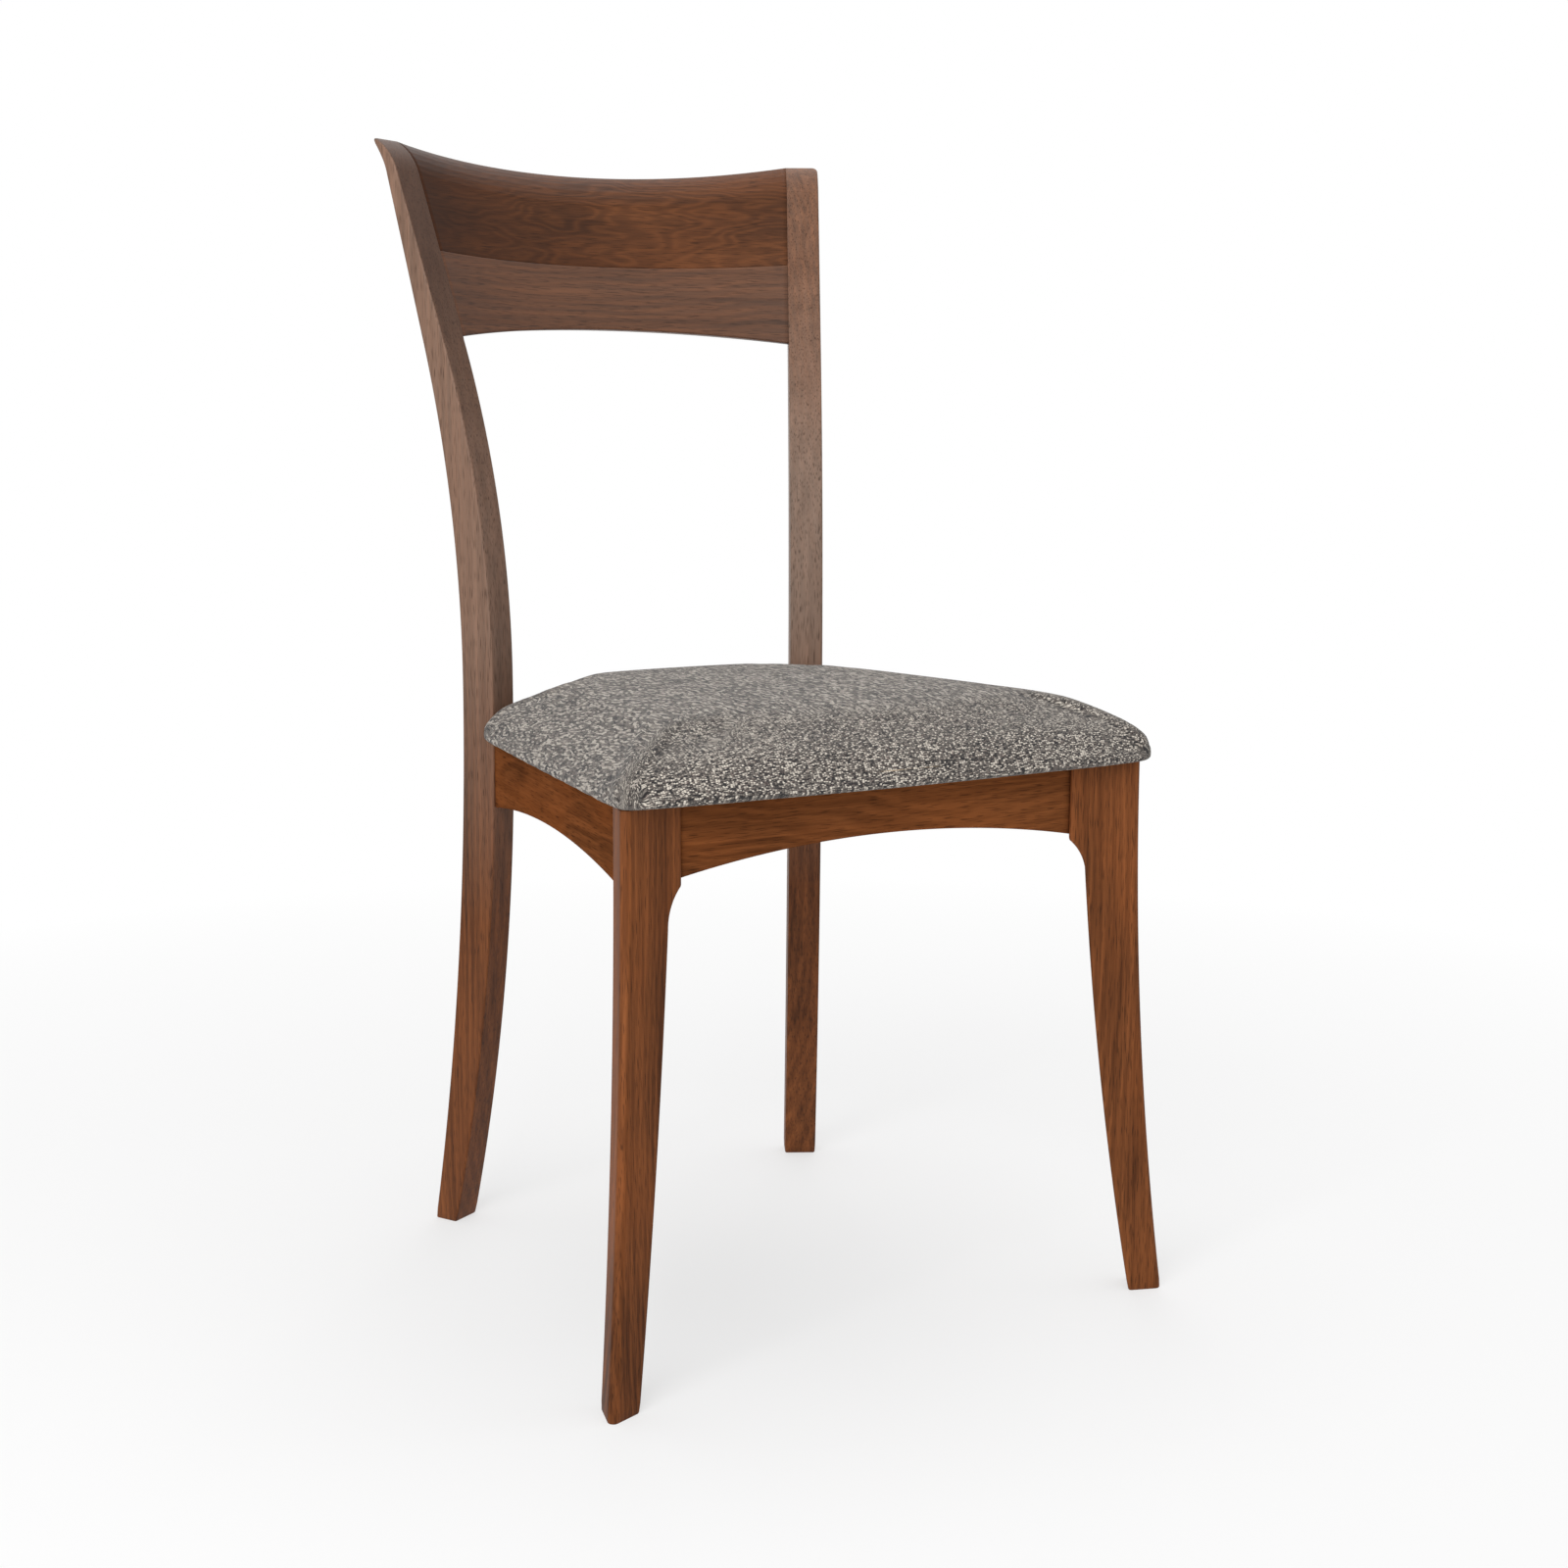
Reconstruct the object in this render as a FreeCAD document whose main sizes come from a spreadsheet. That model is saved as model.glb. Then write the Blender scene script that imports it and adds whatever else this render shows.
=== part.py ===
"""Walnut side chair with a curved, swept back and an upholstered seat.

Lengths are in millimetres and angles in degrees. +Z is up, the front of the
chair faces -Y, and the origin is the middle of its footprint on the floor.
"""

import math
import os

import FreeCAD
import Part
import Sketcher

doc = FreeCAD.newDocument("SideChair")
sheet = doc.addObject("Spreadsheet::Sheet", "Sizes")

DIMENSIONS = (
    ("back_axis_y", -122.2, "where the upright axis of the curved back stands"),
    ("back_radius", 276.3, "axis to the front of a post at the waist, on its inner face"),
    ("back_half_angle", 28.4, "angle from the middle of the back to a post's inner face"),
    ("post_width", 28.0, "post across its flat faces"),
    ("post_foot_sweep", 48.6, "front of the post's foot behind its waist"),
    ("post_foot_depth", 21.5, "post from front to back at the floor"),
    ("post_waist_depth", 30.7, "post from front to back at the waist"),
    ("waist_bottom", 425.0, "height where the front edge turns upright"),
    ("waist_top", 460.0, "height where the post starts to lean back"),
    ("lean_drop", 158.0, "from the crest's tip down to where the lean becomes straight"),
    ("front_lean", 18.2, "lean of the front of the crest"),
    ("rear_lean", 14.2, "lean of the rear of the crest"),
    ("crest_tip", 888.0, "height of the crest at the posts"),
    ("crest_dip", 14.0, "how far the top edge drops in the middle"),
    ("crest_roll", 26.0, "height of the part that rolls back to the top edge"),
    ("crest_kick", 6.8, "how far the rear flares at the top edge"),
    ("crest_edge", 2.5, "thickness of the top edge"),
    ("crest_depth", 155.0, "crest from its tip down to its lower edge at the posts"),
    ("crest_arch", 10.0, "rise of the crest's lower edge in the middle"),
    ("crest_upper_depth", 92.0, "from the crest's tip down to the joint between its boards"),
    ("rail_top", 414.0, "top of the legs and aprons"),
    ("rail_low", 356.0, "lower edge of the aprons at their ends"),
    ("leg_corner_x", 221.4, "outer corner of a front leg at its top"),
    ("leg_corner_y", -242.7, "outer corner of a front leg at its top"),
    ("leg_turn", 38.5, "turn of the front legs towards the corners"),
    ("leg_sweep", 27.9, "how far a front leg flares out at the floor"),
    ("leg_width_top", 48.5, "inner edge from the outer corner, at the top"),
    ("leg_width_foot", 30.0, "inner edge from the outer corner, at the floor"),
    ("leg_front_angle", 19.0, "front face turned forward of the leg's own line"),
    ("leg_side_depth", 17.0, "outer corner to the rear face of the leg"),
    ("leg_side_angle", 36.5, "outer face turned back from the leg's own line"),
    ("leg_ear", 56.3, "outer corner to the face that takes the front apron"),
    ("leg_cove_low", 328.0, "height where the curve under the apron starts"),
    ("leg_round", 4.5, "rounding of the outer corner of a leg"),
    ("apron_thickness", 20.0, "thickness of the four aprons"),
    ("front_apron_y", -220.0, "front face of the front apron"),
    ("front_apron_rise", 18.0, "arch of the front apron"),
    ("side_apron_turn", 9.4, "turn of the side aprons towards the back"),
    ("side_apron_inset", 1.0, "side apron behind the outer face of the post"),
    ("side_apron_rise", 14.0, "arch of the side aprons"),
    ("rear_apron_inset", 3.0, "rear apron behind the front edge of the posts"),
    ("tenon_thickness", 8.0, "loose tenons of the seat frame"),
    ("tenon_height", 26.0, "loose tenons of the seat frame"),
    ("tenon_depth", 12.0, "how far a tenon enters each piece"),
    ("crest_tenon_thickness", 6.0, "loose tenons of the crest"),
    ("crest_tenon_height", 30.0, "loose tenons of the crest"),
    ("block_reach", 62.0, "corner block along the aprons"),
    ("block_low", 376.0, "underside of the corner blocks"),
    ("block_height", 30.0, "height of the corner blocks"),
    ("screw_radius", 2.2, "shank of the screws"),
    ("screw_head_radius", 4.2, "head of the screws"),
    ("screw_head_height", 3.0, "head of the screws"),
    ("screw_bite", 11.0, "how far a screw enters the far piece"),
    ("pad_front_y", -262.0, "front of the seat pad in the middle"),
    ("pad_bow", 11.0, "how far the front of the pad bows forward"),
    ("pad_rear_y", 140.35, "rear of the seat pad"),
    ("pad_overhang", 11.5, "seat pad past the outer face of the side aprons"),
    ("pad_corner", 20.0, "rounding of the pad's front corners seen from above"),
    ("pad_thickness", 51.0, "seat pad in the middle"),
    ("post_clearance", 2.0, "space between the pad and the posts"),
    ("cover_thickness", 1.5, "seat cloth"),
    ("cover_return", 40.0, "cloth turned under the edge of the seat"),
    ("board_thickness", 12.0, "plywood under the foam"),
    ("board_inset", 7.0, "edge of the plywood inside the pad"),
    ("dust_cloth", 0.8, "thickness of the cloth under the seat"),
)


class Size:
    """A number together with the sheet expression that gives it."""

    def __init__(self, value, text):
        self.value = float(value)
        self.text = text

    def __add__(self, other):
        other = sized(other)
        return Size(self.value + other.value, "(%s + %s)" % (self.text, other.text))

    def __radd__(self, other):
        return sized(other) + self

    def __sub__(self, other):
        other = sized(other)
        return Size(self.value - other.value, "(%s - %s)" % (self.text, other.text))

    def __rsub__(self, other):
        return sized(other) - self

    def __mul__(self, other):
        other = sized(other)
        return Size(self.value * other.value, "(%s * %s)" % (self.text, other.text))

    def __rmul__(self, other):
        return sized(other) * self

    def __truediv__(self, other):
        other = sized(other)
        return Size(self.value / other.value, "(%s / %s)" % (self.text, other.text))

    def __rtruediv__(self, other):
        return sized(other) / self

    def __neg__(self):
        return Size(-self.value, "(0 - %s)" % self.text)


def sized(number):
    """A plain number as a Size."""
    if isinstance(number, Size):
        return number
    return Size(number, "(%.6f)" % number)


def sine(angle):
    return Size(math.sin(math.radians(angle.value)), "sin(%s * 1 deg)" % angle.text)


def cosine(angle):
    return Size(math.cos(math.radians(angle.value)), "cos(%s * 1 deg)" % angle.text)


def tangent(angle):
    return Size(math.tan(math.radians(angle.value)), "tan(%s * 1 deg)" % angle.text)


def fill_sheet():
    """Every dimension in a cell of its own, under its own name."""
    for row, (alias, value, words) in enumerate(DIMENSIONS, start=1):
        sheet.set("A%d" % row, words)
        sheet.set("B%d" % row, "%g" % value)
        sheet.setAlias("B%d" % row, alias)
    doc.recompute()
    return {alias: Size(getattr(sheet, alias), "Sizes." + alias) for alias, _, _ in DIMENSIONS}


S = fill_sheet()


def arc_radius(start, end, tilt):
    """Radius of the arc between two points that leaves the first at a tilt from upright."""
    run = end[0] - start[0]
    rise = end[1] - start[1]
    square = run * run + rise * rise
    return square / (2.0 * (run * cosine(tilt) - rise * sine(tilt)))


def middle_of_arc(start, end, radius, side):
    """Middle point of the shorter arc, bulging to the left (1) or right (-1) of its chord."""
    dx = end.x - start.x
    dy = end.y - start.y
    chord = math.hypot(dx, dy)
    sag = radius - math.sqrt(radius * radius - chord * chord / 4.0)
    middle = (start + end) * 0.5
    return middle + FreeCAD.Vector(-dy / chord, dx / chord, 0) * (sag * side)


def origin_plane(body, role):
    for item in body.Origin.OriginFeatures:
        if item.Role == role:
            return item
    raise RuntimeError("no plane " + role)


def outline(body, name, role, corners, arcs=None, shift=None):
    """Closed sketch of lines, and of arcs given as edge number: (radius, side)."""
    arcs = arcs or {}
    sketch = body.newObject("Sketcher::SketchObject", name)
    sketch.AttachmentSupport = [(origin_plane(body, role), "")]
    sketch.MapMode = "FlatFace"
    if shift is not None:
        sketch.AttachmentOffset = shift
    corners = [(sized(x), sized(y)) for x, y in corners]
    points = [FreeCAD.Vector(x.value, y.value, 0) for x, y in corners]
    count = len(points)
    ends = []
    for index in range(count):
        start = points[index]
        end = points[(index + 1) % count]
        if index in arcs:
            radius, side = arcs[index]
            middle = middle_of_arc(start, end, radius.value, side)
            number = sketch.addGeometry(Part.Arc(start, middle, end), False)
        else:
            number = sketch.addGeometry(Part.LineSegment(start, end), False)
        first = 1
        if (sketch.getPoint(number, 1) - start).Length > (sketch.getPoint(number, 2) - start).Length:
            first = 2
        ends.append((number, first, 3 - first))
    for index in range(count):
        number, first, _ = ends[index]
        before, _, last = ends[index - 1]
        sketch.addConstraint(Sketcher.Constraint("Coincident", before, last, number, first))
    for index in range(count):
        number, first, _ = ends[index]
        for kind, value in zip(("DistanceX", "DistanceY"), corners[index]):
            rule = sketch.addConstraint(Sketcher.Constraint(kind, -1, 1, number, first, value.value))
            sketch.setExpression("Constraints[%d]" % rule, value.text)
    for index, (radius, _) in arcs.items():
        rule = sketch.addConstraint(Sketcher.Constraint("Radius", ends[index][0], radius.value))
        sketch.setExpression("Constraints[%d]" % rule, radius.text)
    return sketch


def new_body(name):
    return doc.addObject("PartDesign::Body", name)


def place(item, x, y, z, turn=None):
    """Bind an object's place, and its turn about the upright axis, to the sheet."""
    for axis, value in zip("xyz", (x, y, z)):
        item.setExpression("Placement.Base." + axis, sized(value).text)
    if turn is not None:
        item.Placement.Rotation = FreeCAD.Rotation(FreeCAD.Vector(0, 0, 1), turn.value)


def pad(body, sketch, length, name, reverse=False):
    feature = body.newObject("PartDesign::Pad", name)
    feature.Profile = sketch
    feature.Reversed = reverse
    feature.setExpression("Length", length.text)
    return feature


def cut(name, base, tools):
    """The base with each of the tools taken out of it."""
    result = base
    for number, tool in enumerate(tools):
        step = doc.addObject("Part::Cut", "%s_cut_%d" % (name, number))
        step.Base = result
        step.Tool = tool
        result = step
    result.Label = name
    return result


def compound(name, items):
    group = doc.addObject("Part::Compound", name)
    group.Links = items
    group.Label = name
    return group


def box(name, length, width, height, spot, turn, tilt=None):
    """Box centred on a spot, its length along the turned X axis."""
    item = doc.addObject("Part::Box", name)
    item.setExpression("Length", length.text)
    item.setExpression("Width", width.text)
    item.setExpression("Height", height.text)
    rotation = FreeCAD.Rotation(FreeCAD.Vector(0, 0, 1), turn)
    if tilt is not None:
        rotation = rotation * FreeCAD.Rotation(FreeCAD.Vector(1, 0, 0), tilt)
    half = FreeCAD.Vector(length.value / 2, width.value / 2, height.value / 2)
    item.Placement = FreeCAD.Placement(spot - rotation.multVec(half), rotation)
    return item


# The profile of the back, as distance from its axis at a height

lean_start = S["crest_tip"] - S["lean_drop"]
crest_low = S["crest_tip"] - S["crest_depth"]
glue_line = S["crest_tip"] - S["crest_upper_depth"]
lean_rise = lean_start - S["waist_top"]
front_at_lean = S["back_radius"] + lean_rise * tangent(S["front_lean"] / 2)
rear_at_lean = S["back_radius"] + S["post_waist_depth"] + lean_rise * tangent(S["rear_lean"] / 2)


def crest_front(height):
    return front_at_lean + (height - lean_start) * tangent(S["front_lean"])


def crest_rear(height):
    return rear_at_lean + (height - lean_start) * tangent(S["rear_lean"])


def top_edge(tip):
    """Rear kick, top edge and front roll of the crest whose tip is at this height."""
    start = tip - S["crest_roll"]
    kick = (crest_rear(start), start)
    tip_rear = (crest_rear(tip) + S["crest_kick"], tip)
    tip_front = (crest_rear(tip) + S["crest_kick"] - S["crest_edge"], tip)
    roll = (crest_front(start), start)
    return kick, tip_rear, tip_front, roll


def side_sign(side):
    return 1 if side == "right" else -1


def post_blank(side):
    """Plank standing in a plane through the back's axis, its edges cut to the sabre curve."""
    body = new_body("post_blank_" + side)
    front = S["back_radius"]
    rear = front + S["post_waist_depth"]
    foot_front = (front + S["post_foot_sweep"], 0.0)
    foot_rear = (foot_front[0] + S["post_foot_depth"], 0.0)
    rear_waist = (rear, S["waist_top"])
    front_waist_top = (front, S["waist_top"])
    front_waist_low = (front, S["waist_bottom"])
    kick, tip_rear, tip_front, roll = top_edge(S["crest_tip"])
    corners = [foot_front, foot_rear, rear_waist, (rear_at_lean, lean_start), kick, tip_rear,
               tip_front, roll, (front_at_lean, lean_start), front_waist_top, front_waist_low]
    rear_drop = foot_rear[0] - rear
    front_drop = S["post_foot_sweep"]
    low_rear = (S["waist_top"] * S["waist_top"] + rear_drop * rear_drop) / (2 * rear_drop)
    low_front = (S["waist_bottom"] * S["waist_bottom"] + front_drop * front_drop) / (2 * front_drop)
    arcs = {
        1: (low_rear, 1),
        2: (lean_rise / sine(S["rear_lean"]), 1),
        6: (arc_radius(roll, tip_front, S["front_lean"]), -1),
        8: (lean_rise / sine(S["front_lean"]), -1),
        10: (low_front, -1),
    }
    sketch = outline(body, "post_profile_" + side, "XZ_Plane", corners, arcs)
    pad(body, sketch, S["post_width"], "post_plank_" + side, reverse=side == "left")
    turn = 90 - S["back_half_angle"] if side == "right" else 90 + S["back_half_angle"]
    place(body, 0.0, S["back_axis_y"], 0.0, turn)
    return body


def crest_board(name, section):
    """Board bent round the back's axis: a loft through sections standing in planes through it."""
    body = new_body(name + "_body")
    sketches = []
    for number, part in enumerate((-1.0, -0.5, 0.0, 0.5, 1.0)):
        angle = part * S["back_half_angle"].value
        shift = FreeCAD.Placement(FreeCAD.Vector(), FreeCAD.Rotation(FreeCAD.Vector(0, 1, 0), angle))
        corners, arcs = section(1.0 - part * part)
        sketches.append(outline(body, "%s_section_%d" % (name, number), "XZ_Plane", corners, arcs, shift))
    loft = body.newObject("PartDesign::AdditiveLoft", name + "_loft")
    loft.Profile = sketches[0]
    loft.Sections = sketches[1:]
    loft.Ruled = False
    place(body, 0.0, S["back_axis_y"], 0.0, sized(90.0))
    return body


def lower_section(bow):
    low = crest_low + S["crest_arch"] * bow
    joint = glue_line
    return [(crest_front(low), low), (crest_rear(low), low),
            (crest_rear(joint), joint), (crest_front(joint), joint)], {}


def upper_section(bow):
    joint = glue_line
    kick, tip_rear, tip_front, roll = top_edge(S["crest_tip"] - S["crest_dip"] * bow)
    corners = [(crest_front(joint), joint), (crest_rear(joint), joint), kick, tip_rear, tip_front, roll]
    return corners, {4: (arc_radius(roll, tip_front, S["front_lean"]), -1)}


LEG_FLATS = 3


def leg_inner_edge(share):
    """Inner edge of a front leg at a share of its height."""
    width = S["leg_width_foot"] + (S["leg_width_top"] - S["leg_width_foot"]) * share
    return S["leg_sweep"] * ((1 - share) * (1 - share)) - width


def leg_profile(side, sign, turn):
    """Leg seen square to its own line: tapered inner edge with a cove under the apron, left long outside."""
    body = new_body("leg_profile_" + side)
    top = S["rail_top"]
    cove_share = S["leg_cove_low"] / top
    foot = (leg_inner_edge(sized(0.0)), 0.0)
    cove = (leg_inner_edge(cove_share), S["leg_cove_low"])
    halfway = leg_inner_edge(cove_share / 2)
    ear = (0 - S["leg_ear"], S["rail_low"])
    sag = (foot[0] + cove[0]) / 2 - halfway
    run = foot[0] - cove[0]
    taper = (run * run + cove[1] * cove[1]) / (8 * sag)
    cove_run = cove[0] - ear[0]
    cove_rise = ear[1] - cove[1]
    cove_radius = (cove_run * cove_run + cove_rise * cove_rise) / (2 * cove_run)
    far = S["leg_sweep"] + 20
    corners = [(far, 0.0), (far, top), (0 - S["leg_ear"], top), ear, cove, foot]
    shift = FreeCAD.Placement(FreeCAD.Vector(0, 0, -sign * S["leg_side_depth"].value), FreeCAD.Rotation())
    sketch = outline(body, "leg_side_" + side, "XZ_Plane", corners,
                     {3: (cove_radius, 1), 4: (taper, -1)}, shift)
    sketch.setExpression("AttachmentOffset.Base.z", (-sign * S["leg_side_depth"]).text)
    pad(body, sketch, S["leg_side_depth"] + 60, "leg_plank_" + side, reverse=side == "left")
    place(body, sign * S["leg_corner_x"], S["leg_corner_y"], 0.0, turn)
    return body


def leg_face(name, side, sign, turn, angle, outward, spot):
    """Wood behind one outside face of a leg, which flares from the top to the floor on a single arc."""
    body = new_body("leg_%s_%s" % (name, side))
    top = S["rail_top"]
    flare = S["leg_sweep"] * sine(angle)
    radius = (top * top + flare * flare) / (2 * flare)
    way = sign * outward
    wood = S["leg_ear"] * 2
    corners = [(way * flare, 0.0), (-way * wood, 0.0), (-way * wood, top), (0.0, top)]
    sketch = outline(body, "leg_arc_%s_%s" % (name, side), "YZ_Plane", corners, {3: (radius, -way)})
    feature = pad(body, sketch, S["leg_ear"] * 6, "leg_wood_%s_%s" % (name, side))
    feature.Midplane = True
    across = S["leg_corner_x"] + spot[0] * cosine(S["leg_turn"]) + spot[1] * sine(S["leg_turn"])
    along = S["leg_corner_y"] + spot[1] * cosine(S["leg_turn"]) - spot[0] * sine(S["leg_turn"])
    place(body, sign * across, along, 0.0, turn - sign * outward * angle)
    return body


def leg_faces():
    """Front and outer face of a leg, then the narrow flats that round the corner between them.

    Each flat touches the same circle, so its middle lies one radius from the circle's centre.
    """
    edge = (sized(0.0), sized(0.0))
    faces = [("front", S["leg_front_angle"], -1, edge), ("outer", S["leg_side_angle"], 1, edge)]
    half = (S["leg_front_angle"] + S["leg_side_angle"]) / 2
    skew = (S["leg_side_angle"] - S["leg_front_angle"]) / 2
    reach = S["leg_round"] / sine(half)
    step = (180 - half * 2) / (LEG_FLATS + 1)
    for number in range(1, LEG_FLATS + 1):
        angle = S["leg_side_angle"] + step * number
        spot = (S["leg_round"] * sine(angle) - reach * cosine(skew),
                S["leg_round"] * cosine(angle) + reach * sine(skew))
        faces.append(("flat_%d" % number, angle, 1, spot))
    return faces


def leg_blank(side):
    """Front leg set diagonally in the corner, flared, tapered and rounded on its outer corner."""
    sign = side_sign(side)
    turn = 0 - S["leg_turn"] if side == "right" else 180 + S["leg_turn"]
    result = leg_profile(side, sign, turn)
    for name, angle, outward, spot in leg_faces():
        step = doc.addObject("Part::Common", "leg_%s_trim_%s" % (name, side))
        step.Base = result
        step.Tool = leg_face(name, side, sign, turn, angle, outward, spot)
        result = step
    return result


def arched_board(name, start, end, rise, thickness, reverse=False):
    """Board on edge from start to end along X, its lower edge arched."""
    body = new_body(name + "_blank")
    low = S["rail_low"]
    top = S["rail_top"]
    span = end - start
    radius = (span * span / 4 + rise * rise) / (2 * rise)
    corners = [(start, low), (end, low), (end, top), (start, top)]
    sketch = outline(body, name + "_face", "XZ_Plane", corners, {0: (radius, 1)})
    pad(body, sketch, thickness, name + "_board", reverse)
    return body


# Where the pieces of the seat frame meet

post_sine = sine(S["back_half_angle"])
post_cosine = cosine(S["back_half_angle"])
leg_sine = sine(S["leg_turn"])
leg_cosine = cosine(S["leg_turn"])
side_sine = sine(S["side_apron_turn"])
side_cosine = cosine(S["side_apron_turn"])

side_rear_x = S["back_radius"] * post_sine + S["post_width"] * post_cosine - S["side_apron_inset"]
side_rear_y = S["back_axis_y"] + S["back_radius"] * post_cosine - S["post_width"] * post_sine
side_slide = S["side_apron_inset"] * tangent(S["back_half_angle"])
side_length = ((side_rear_x - S["leg_corner_x"]) * leg_sine
               + (side_rear_y - S["leg_corner_y"]) * leg_cosine
               - S["leg_side_depth"]) / (side_cosine * leg_cosine - side_sine * leg_sine)
side_into_post = S["apron_thickness"] * tangent(S["back_half_angle"] + S["side_apron_turn"]) + 2
rear_apron_y = S["back_axis_y"] + S["back_radius"] * post_cosine + S["rear_apron_inset"]


def front_joint_x(y):
    """X of the right leg's joint face at this Y."""
    ear_x = S["leg_corner_x"] - S["leg_ear"] * leg_cosine
    ear_y = S["leg_corner_y"] + S["leg_ear"] * leg_sine
    return ear_x + (y - ear_y) * leg_sine / leg_cosine


def rear_joint_x(y):
    """X of the right post's inner face at this Y."""
    return (y - S["back_axis_y"]) * post_sine / post_cosine


def front_apron_blank():
    half = front_joint_x(S["front_apron_y"] + S["apron_thickness"]) + 4
    body = arched_board("front_apron", 0 - half, half, S["front_apron_rise"] + 2, S["apron_thickness"], True)
    place(body, 0.0, S["front_apron_y"], 0.0)
    return body


def rear_apron_blank():
    half = rear_joint_x(rear_apron_y + S["apron_thickness"]) + 4
    body = arched_board("rear_apron", 0 - half, half, S["side_apron_rise"], S["apron_thickness"], True)
    place(body, 0.0, rear_apron_y, 0.0)
    return body


def side_apron_blank(side):
    sign = side_sign(side)
    body = arched_board("side_apron_" + side, 0 - side_into_post, side_length + 2,
                        S["side_apron_rise"], S["apron_thickness"], side == "left")
    turn = S["side_apron_turn"] - 90 if side == "right" else -90 - S["side_apron_turn"]
    place(body, sign * side_rear_x, side_rear_y + side_slide, 0.0, turn)
    return body


def side_point(along, inward, sign):
    """Point of a side apron: along it from the post, and inward from its outer face."""
    x = side_rear_x.value + along * side_sine.value - inward * side_cosine.value
    y = side_rear_y.value + side_slide.value - along * side_cosine.value - inward * side_sine.value
    return FreeCAD.Vector(sign * x, y, 0)


def apron_tenon(name, spot, turn):
    spot = FreeCAD.Vector(spot.x, spot.y, (S["rail_top"].value + S["rail_low"].value) / 2 + 4)
    return box(name, 2 * S["tenon_depth"], S["tenon_thickness"], S["tenon_height"], spot, turn)


def apron_tenons(side):
    """Loose tenons at the four ends that meet on one side of the chair."""
    sign = side_sign(side)
    half = S["apron_thickness"].value / 2
    front_y = S["front_apron_y"] + S["apron_thickness"] / 2
    rear_y = rear_apron_y + S["apron_thickness"] / 2
    meet = S["leg_turn"].value + S["side_apron_turn"].value
    leg_end = side_length.value - half * math.tan(math.radians(meet))
    post_end = -half * math.tan(math.radians(S["back_half_angle"].value + S["side_apron_turn"].value))
    turn = sign * (S["side_apron_turn"].value - 90)
    spots = (
        ("front", FreeCAD.Vector(sign * front_joint_x(front_y).value, front_y.value, 0), 0.0),
        ("leg", side_point(leg_end, half, sign), turn),
        ("post", side_point(post_end, half, sign), turn),
        ("rear", FreeCAD.Vector(sign * rear_joint_x(rear_y).value, rear_y.value, 0), 0.0),
    )
    return {key: apron_tenon("tenon_%s_%s" % (key, side), spot, angle) for key, spot, angle in spots}


def crest_tenon(side, name, height):
    """Loose tenon between a crest board and a post, leaning with the crest."""
    sign = side_sign(side)
    radius = (crest_front(height).value + crest_rear(height).value) / 2
    angle = math.radians(S["back_half_angle"].value)
    spot = FreeCAD.Vector(sign * radius * math.sin(angle),
                          S["back_axis_y"].value + radius * math.cos(angle), height.value)
    lean = (S["front_lean"].value + S["rear_lean"].value) / 2
    turn = -sign * S["back_half_angle"].value
    return box("crest_tenon_%s_%s" % (name, side), 2 * S["tenon_depth"], S["crest_tenon_thickness"],
               S["crest_tenon_height"], spot, turn, -lean)


def block_corners(front, side):
    """Three plan corners of a corner block: on the cross apron, in the corner, on the side apron."""
    sign = side_sign(side)
    if front:
        y = S["front_apron_y"].value + S["apron_thickness"].value
        step = -1
    else:
        y = rear_apron_y.value
        step = 1
    start = side_point(0.0, S["apron_thickness"].value, sign)
    along = (start.y - y) / side_cosine.value
    corner = side_point(along, S["apron_thickness"].value, sign)
    reach = S["block_reach"].value
    cross = FreeCAD.Vector(corner.x - sign * reach, corner.y, 0)
    beside = side_point(along + step * reach, S["apron_thickness"].value, sign)
    return cross, corner, beside


def block_blank(front, side):
    """Three-cornered block against two aprons."""
    name = "%s_%s" % ("front" if front else "rear", side)
    points = [point + FreeCAD.Vector(0, 0, S["block_low"].value) for point in block_corners(front, side)]
    wire = Part.makePolygon(points + points[:1])
    item = doc.addObject("Part::Feature", "block_outline_" + name)
    item.Shape = wire
    block = doc.addObject("Part::Extrusion", "block_blank_" + name)
    block.Base = item
    block.DirMode = "Custom"
    block.Dir = FreeCAD.Vector(0, 0, 1)
    block.setExpression("LengthFwd", S["block_height"].text)
    block.Solid = True
    return block


def screw(name, head, tip):
    """Countersunk screw from the middle of its head to its tip."""
    direction = tip - head
    rotation = FreeCAD.Rotation(FreeCAD.Vector(0, 0, 1), direction)
    top = doc.addObject("Part::Cone", name + "_head")
    top.setExpression("Radius1", S["screw_head_radius"].text)
    top.setExpression("Radius2", S["screw_radius"].text)
    top.setExpression("Height", S["screw_head_height"].text)
    top.Placement = FreeCAD.Placement(head, rotation)
    shank = doc.addObject("Part::Cylinder", name + "_shank")
    shank.setExpression("Radius", S["screw_radius"].text)
    shank.Height = direction.Length
    shank.Placement = FreeCAD.Placement(head, rotation)
    whole = doc.addObject("Part::Fuse", name)
    whole.Base = top
    whole.Tool = shank
    return whole


def seat_screw(front, side):
    """Screw up through a corner block into the seat board."""
    name = "%s_%s" % ("front" if front else "rear", side)
    cross, corner, beside = block_corners(front, side)
    spot = (cross + beside) * 0.36 + corner * 0.28
    low = spot + FreeCAD.Vector(0, 0, S["block_low"].value)
    height = S["rail_top"].value + S["cover_thickness"].value + S["screw_bite"].value - 2
    return screw("seat_screw_" + name, low, spot + FreeCAD.Vector(0, 0, height))


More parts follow.
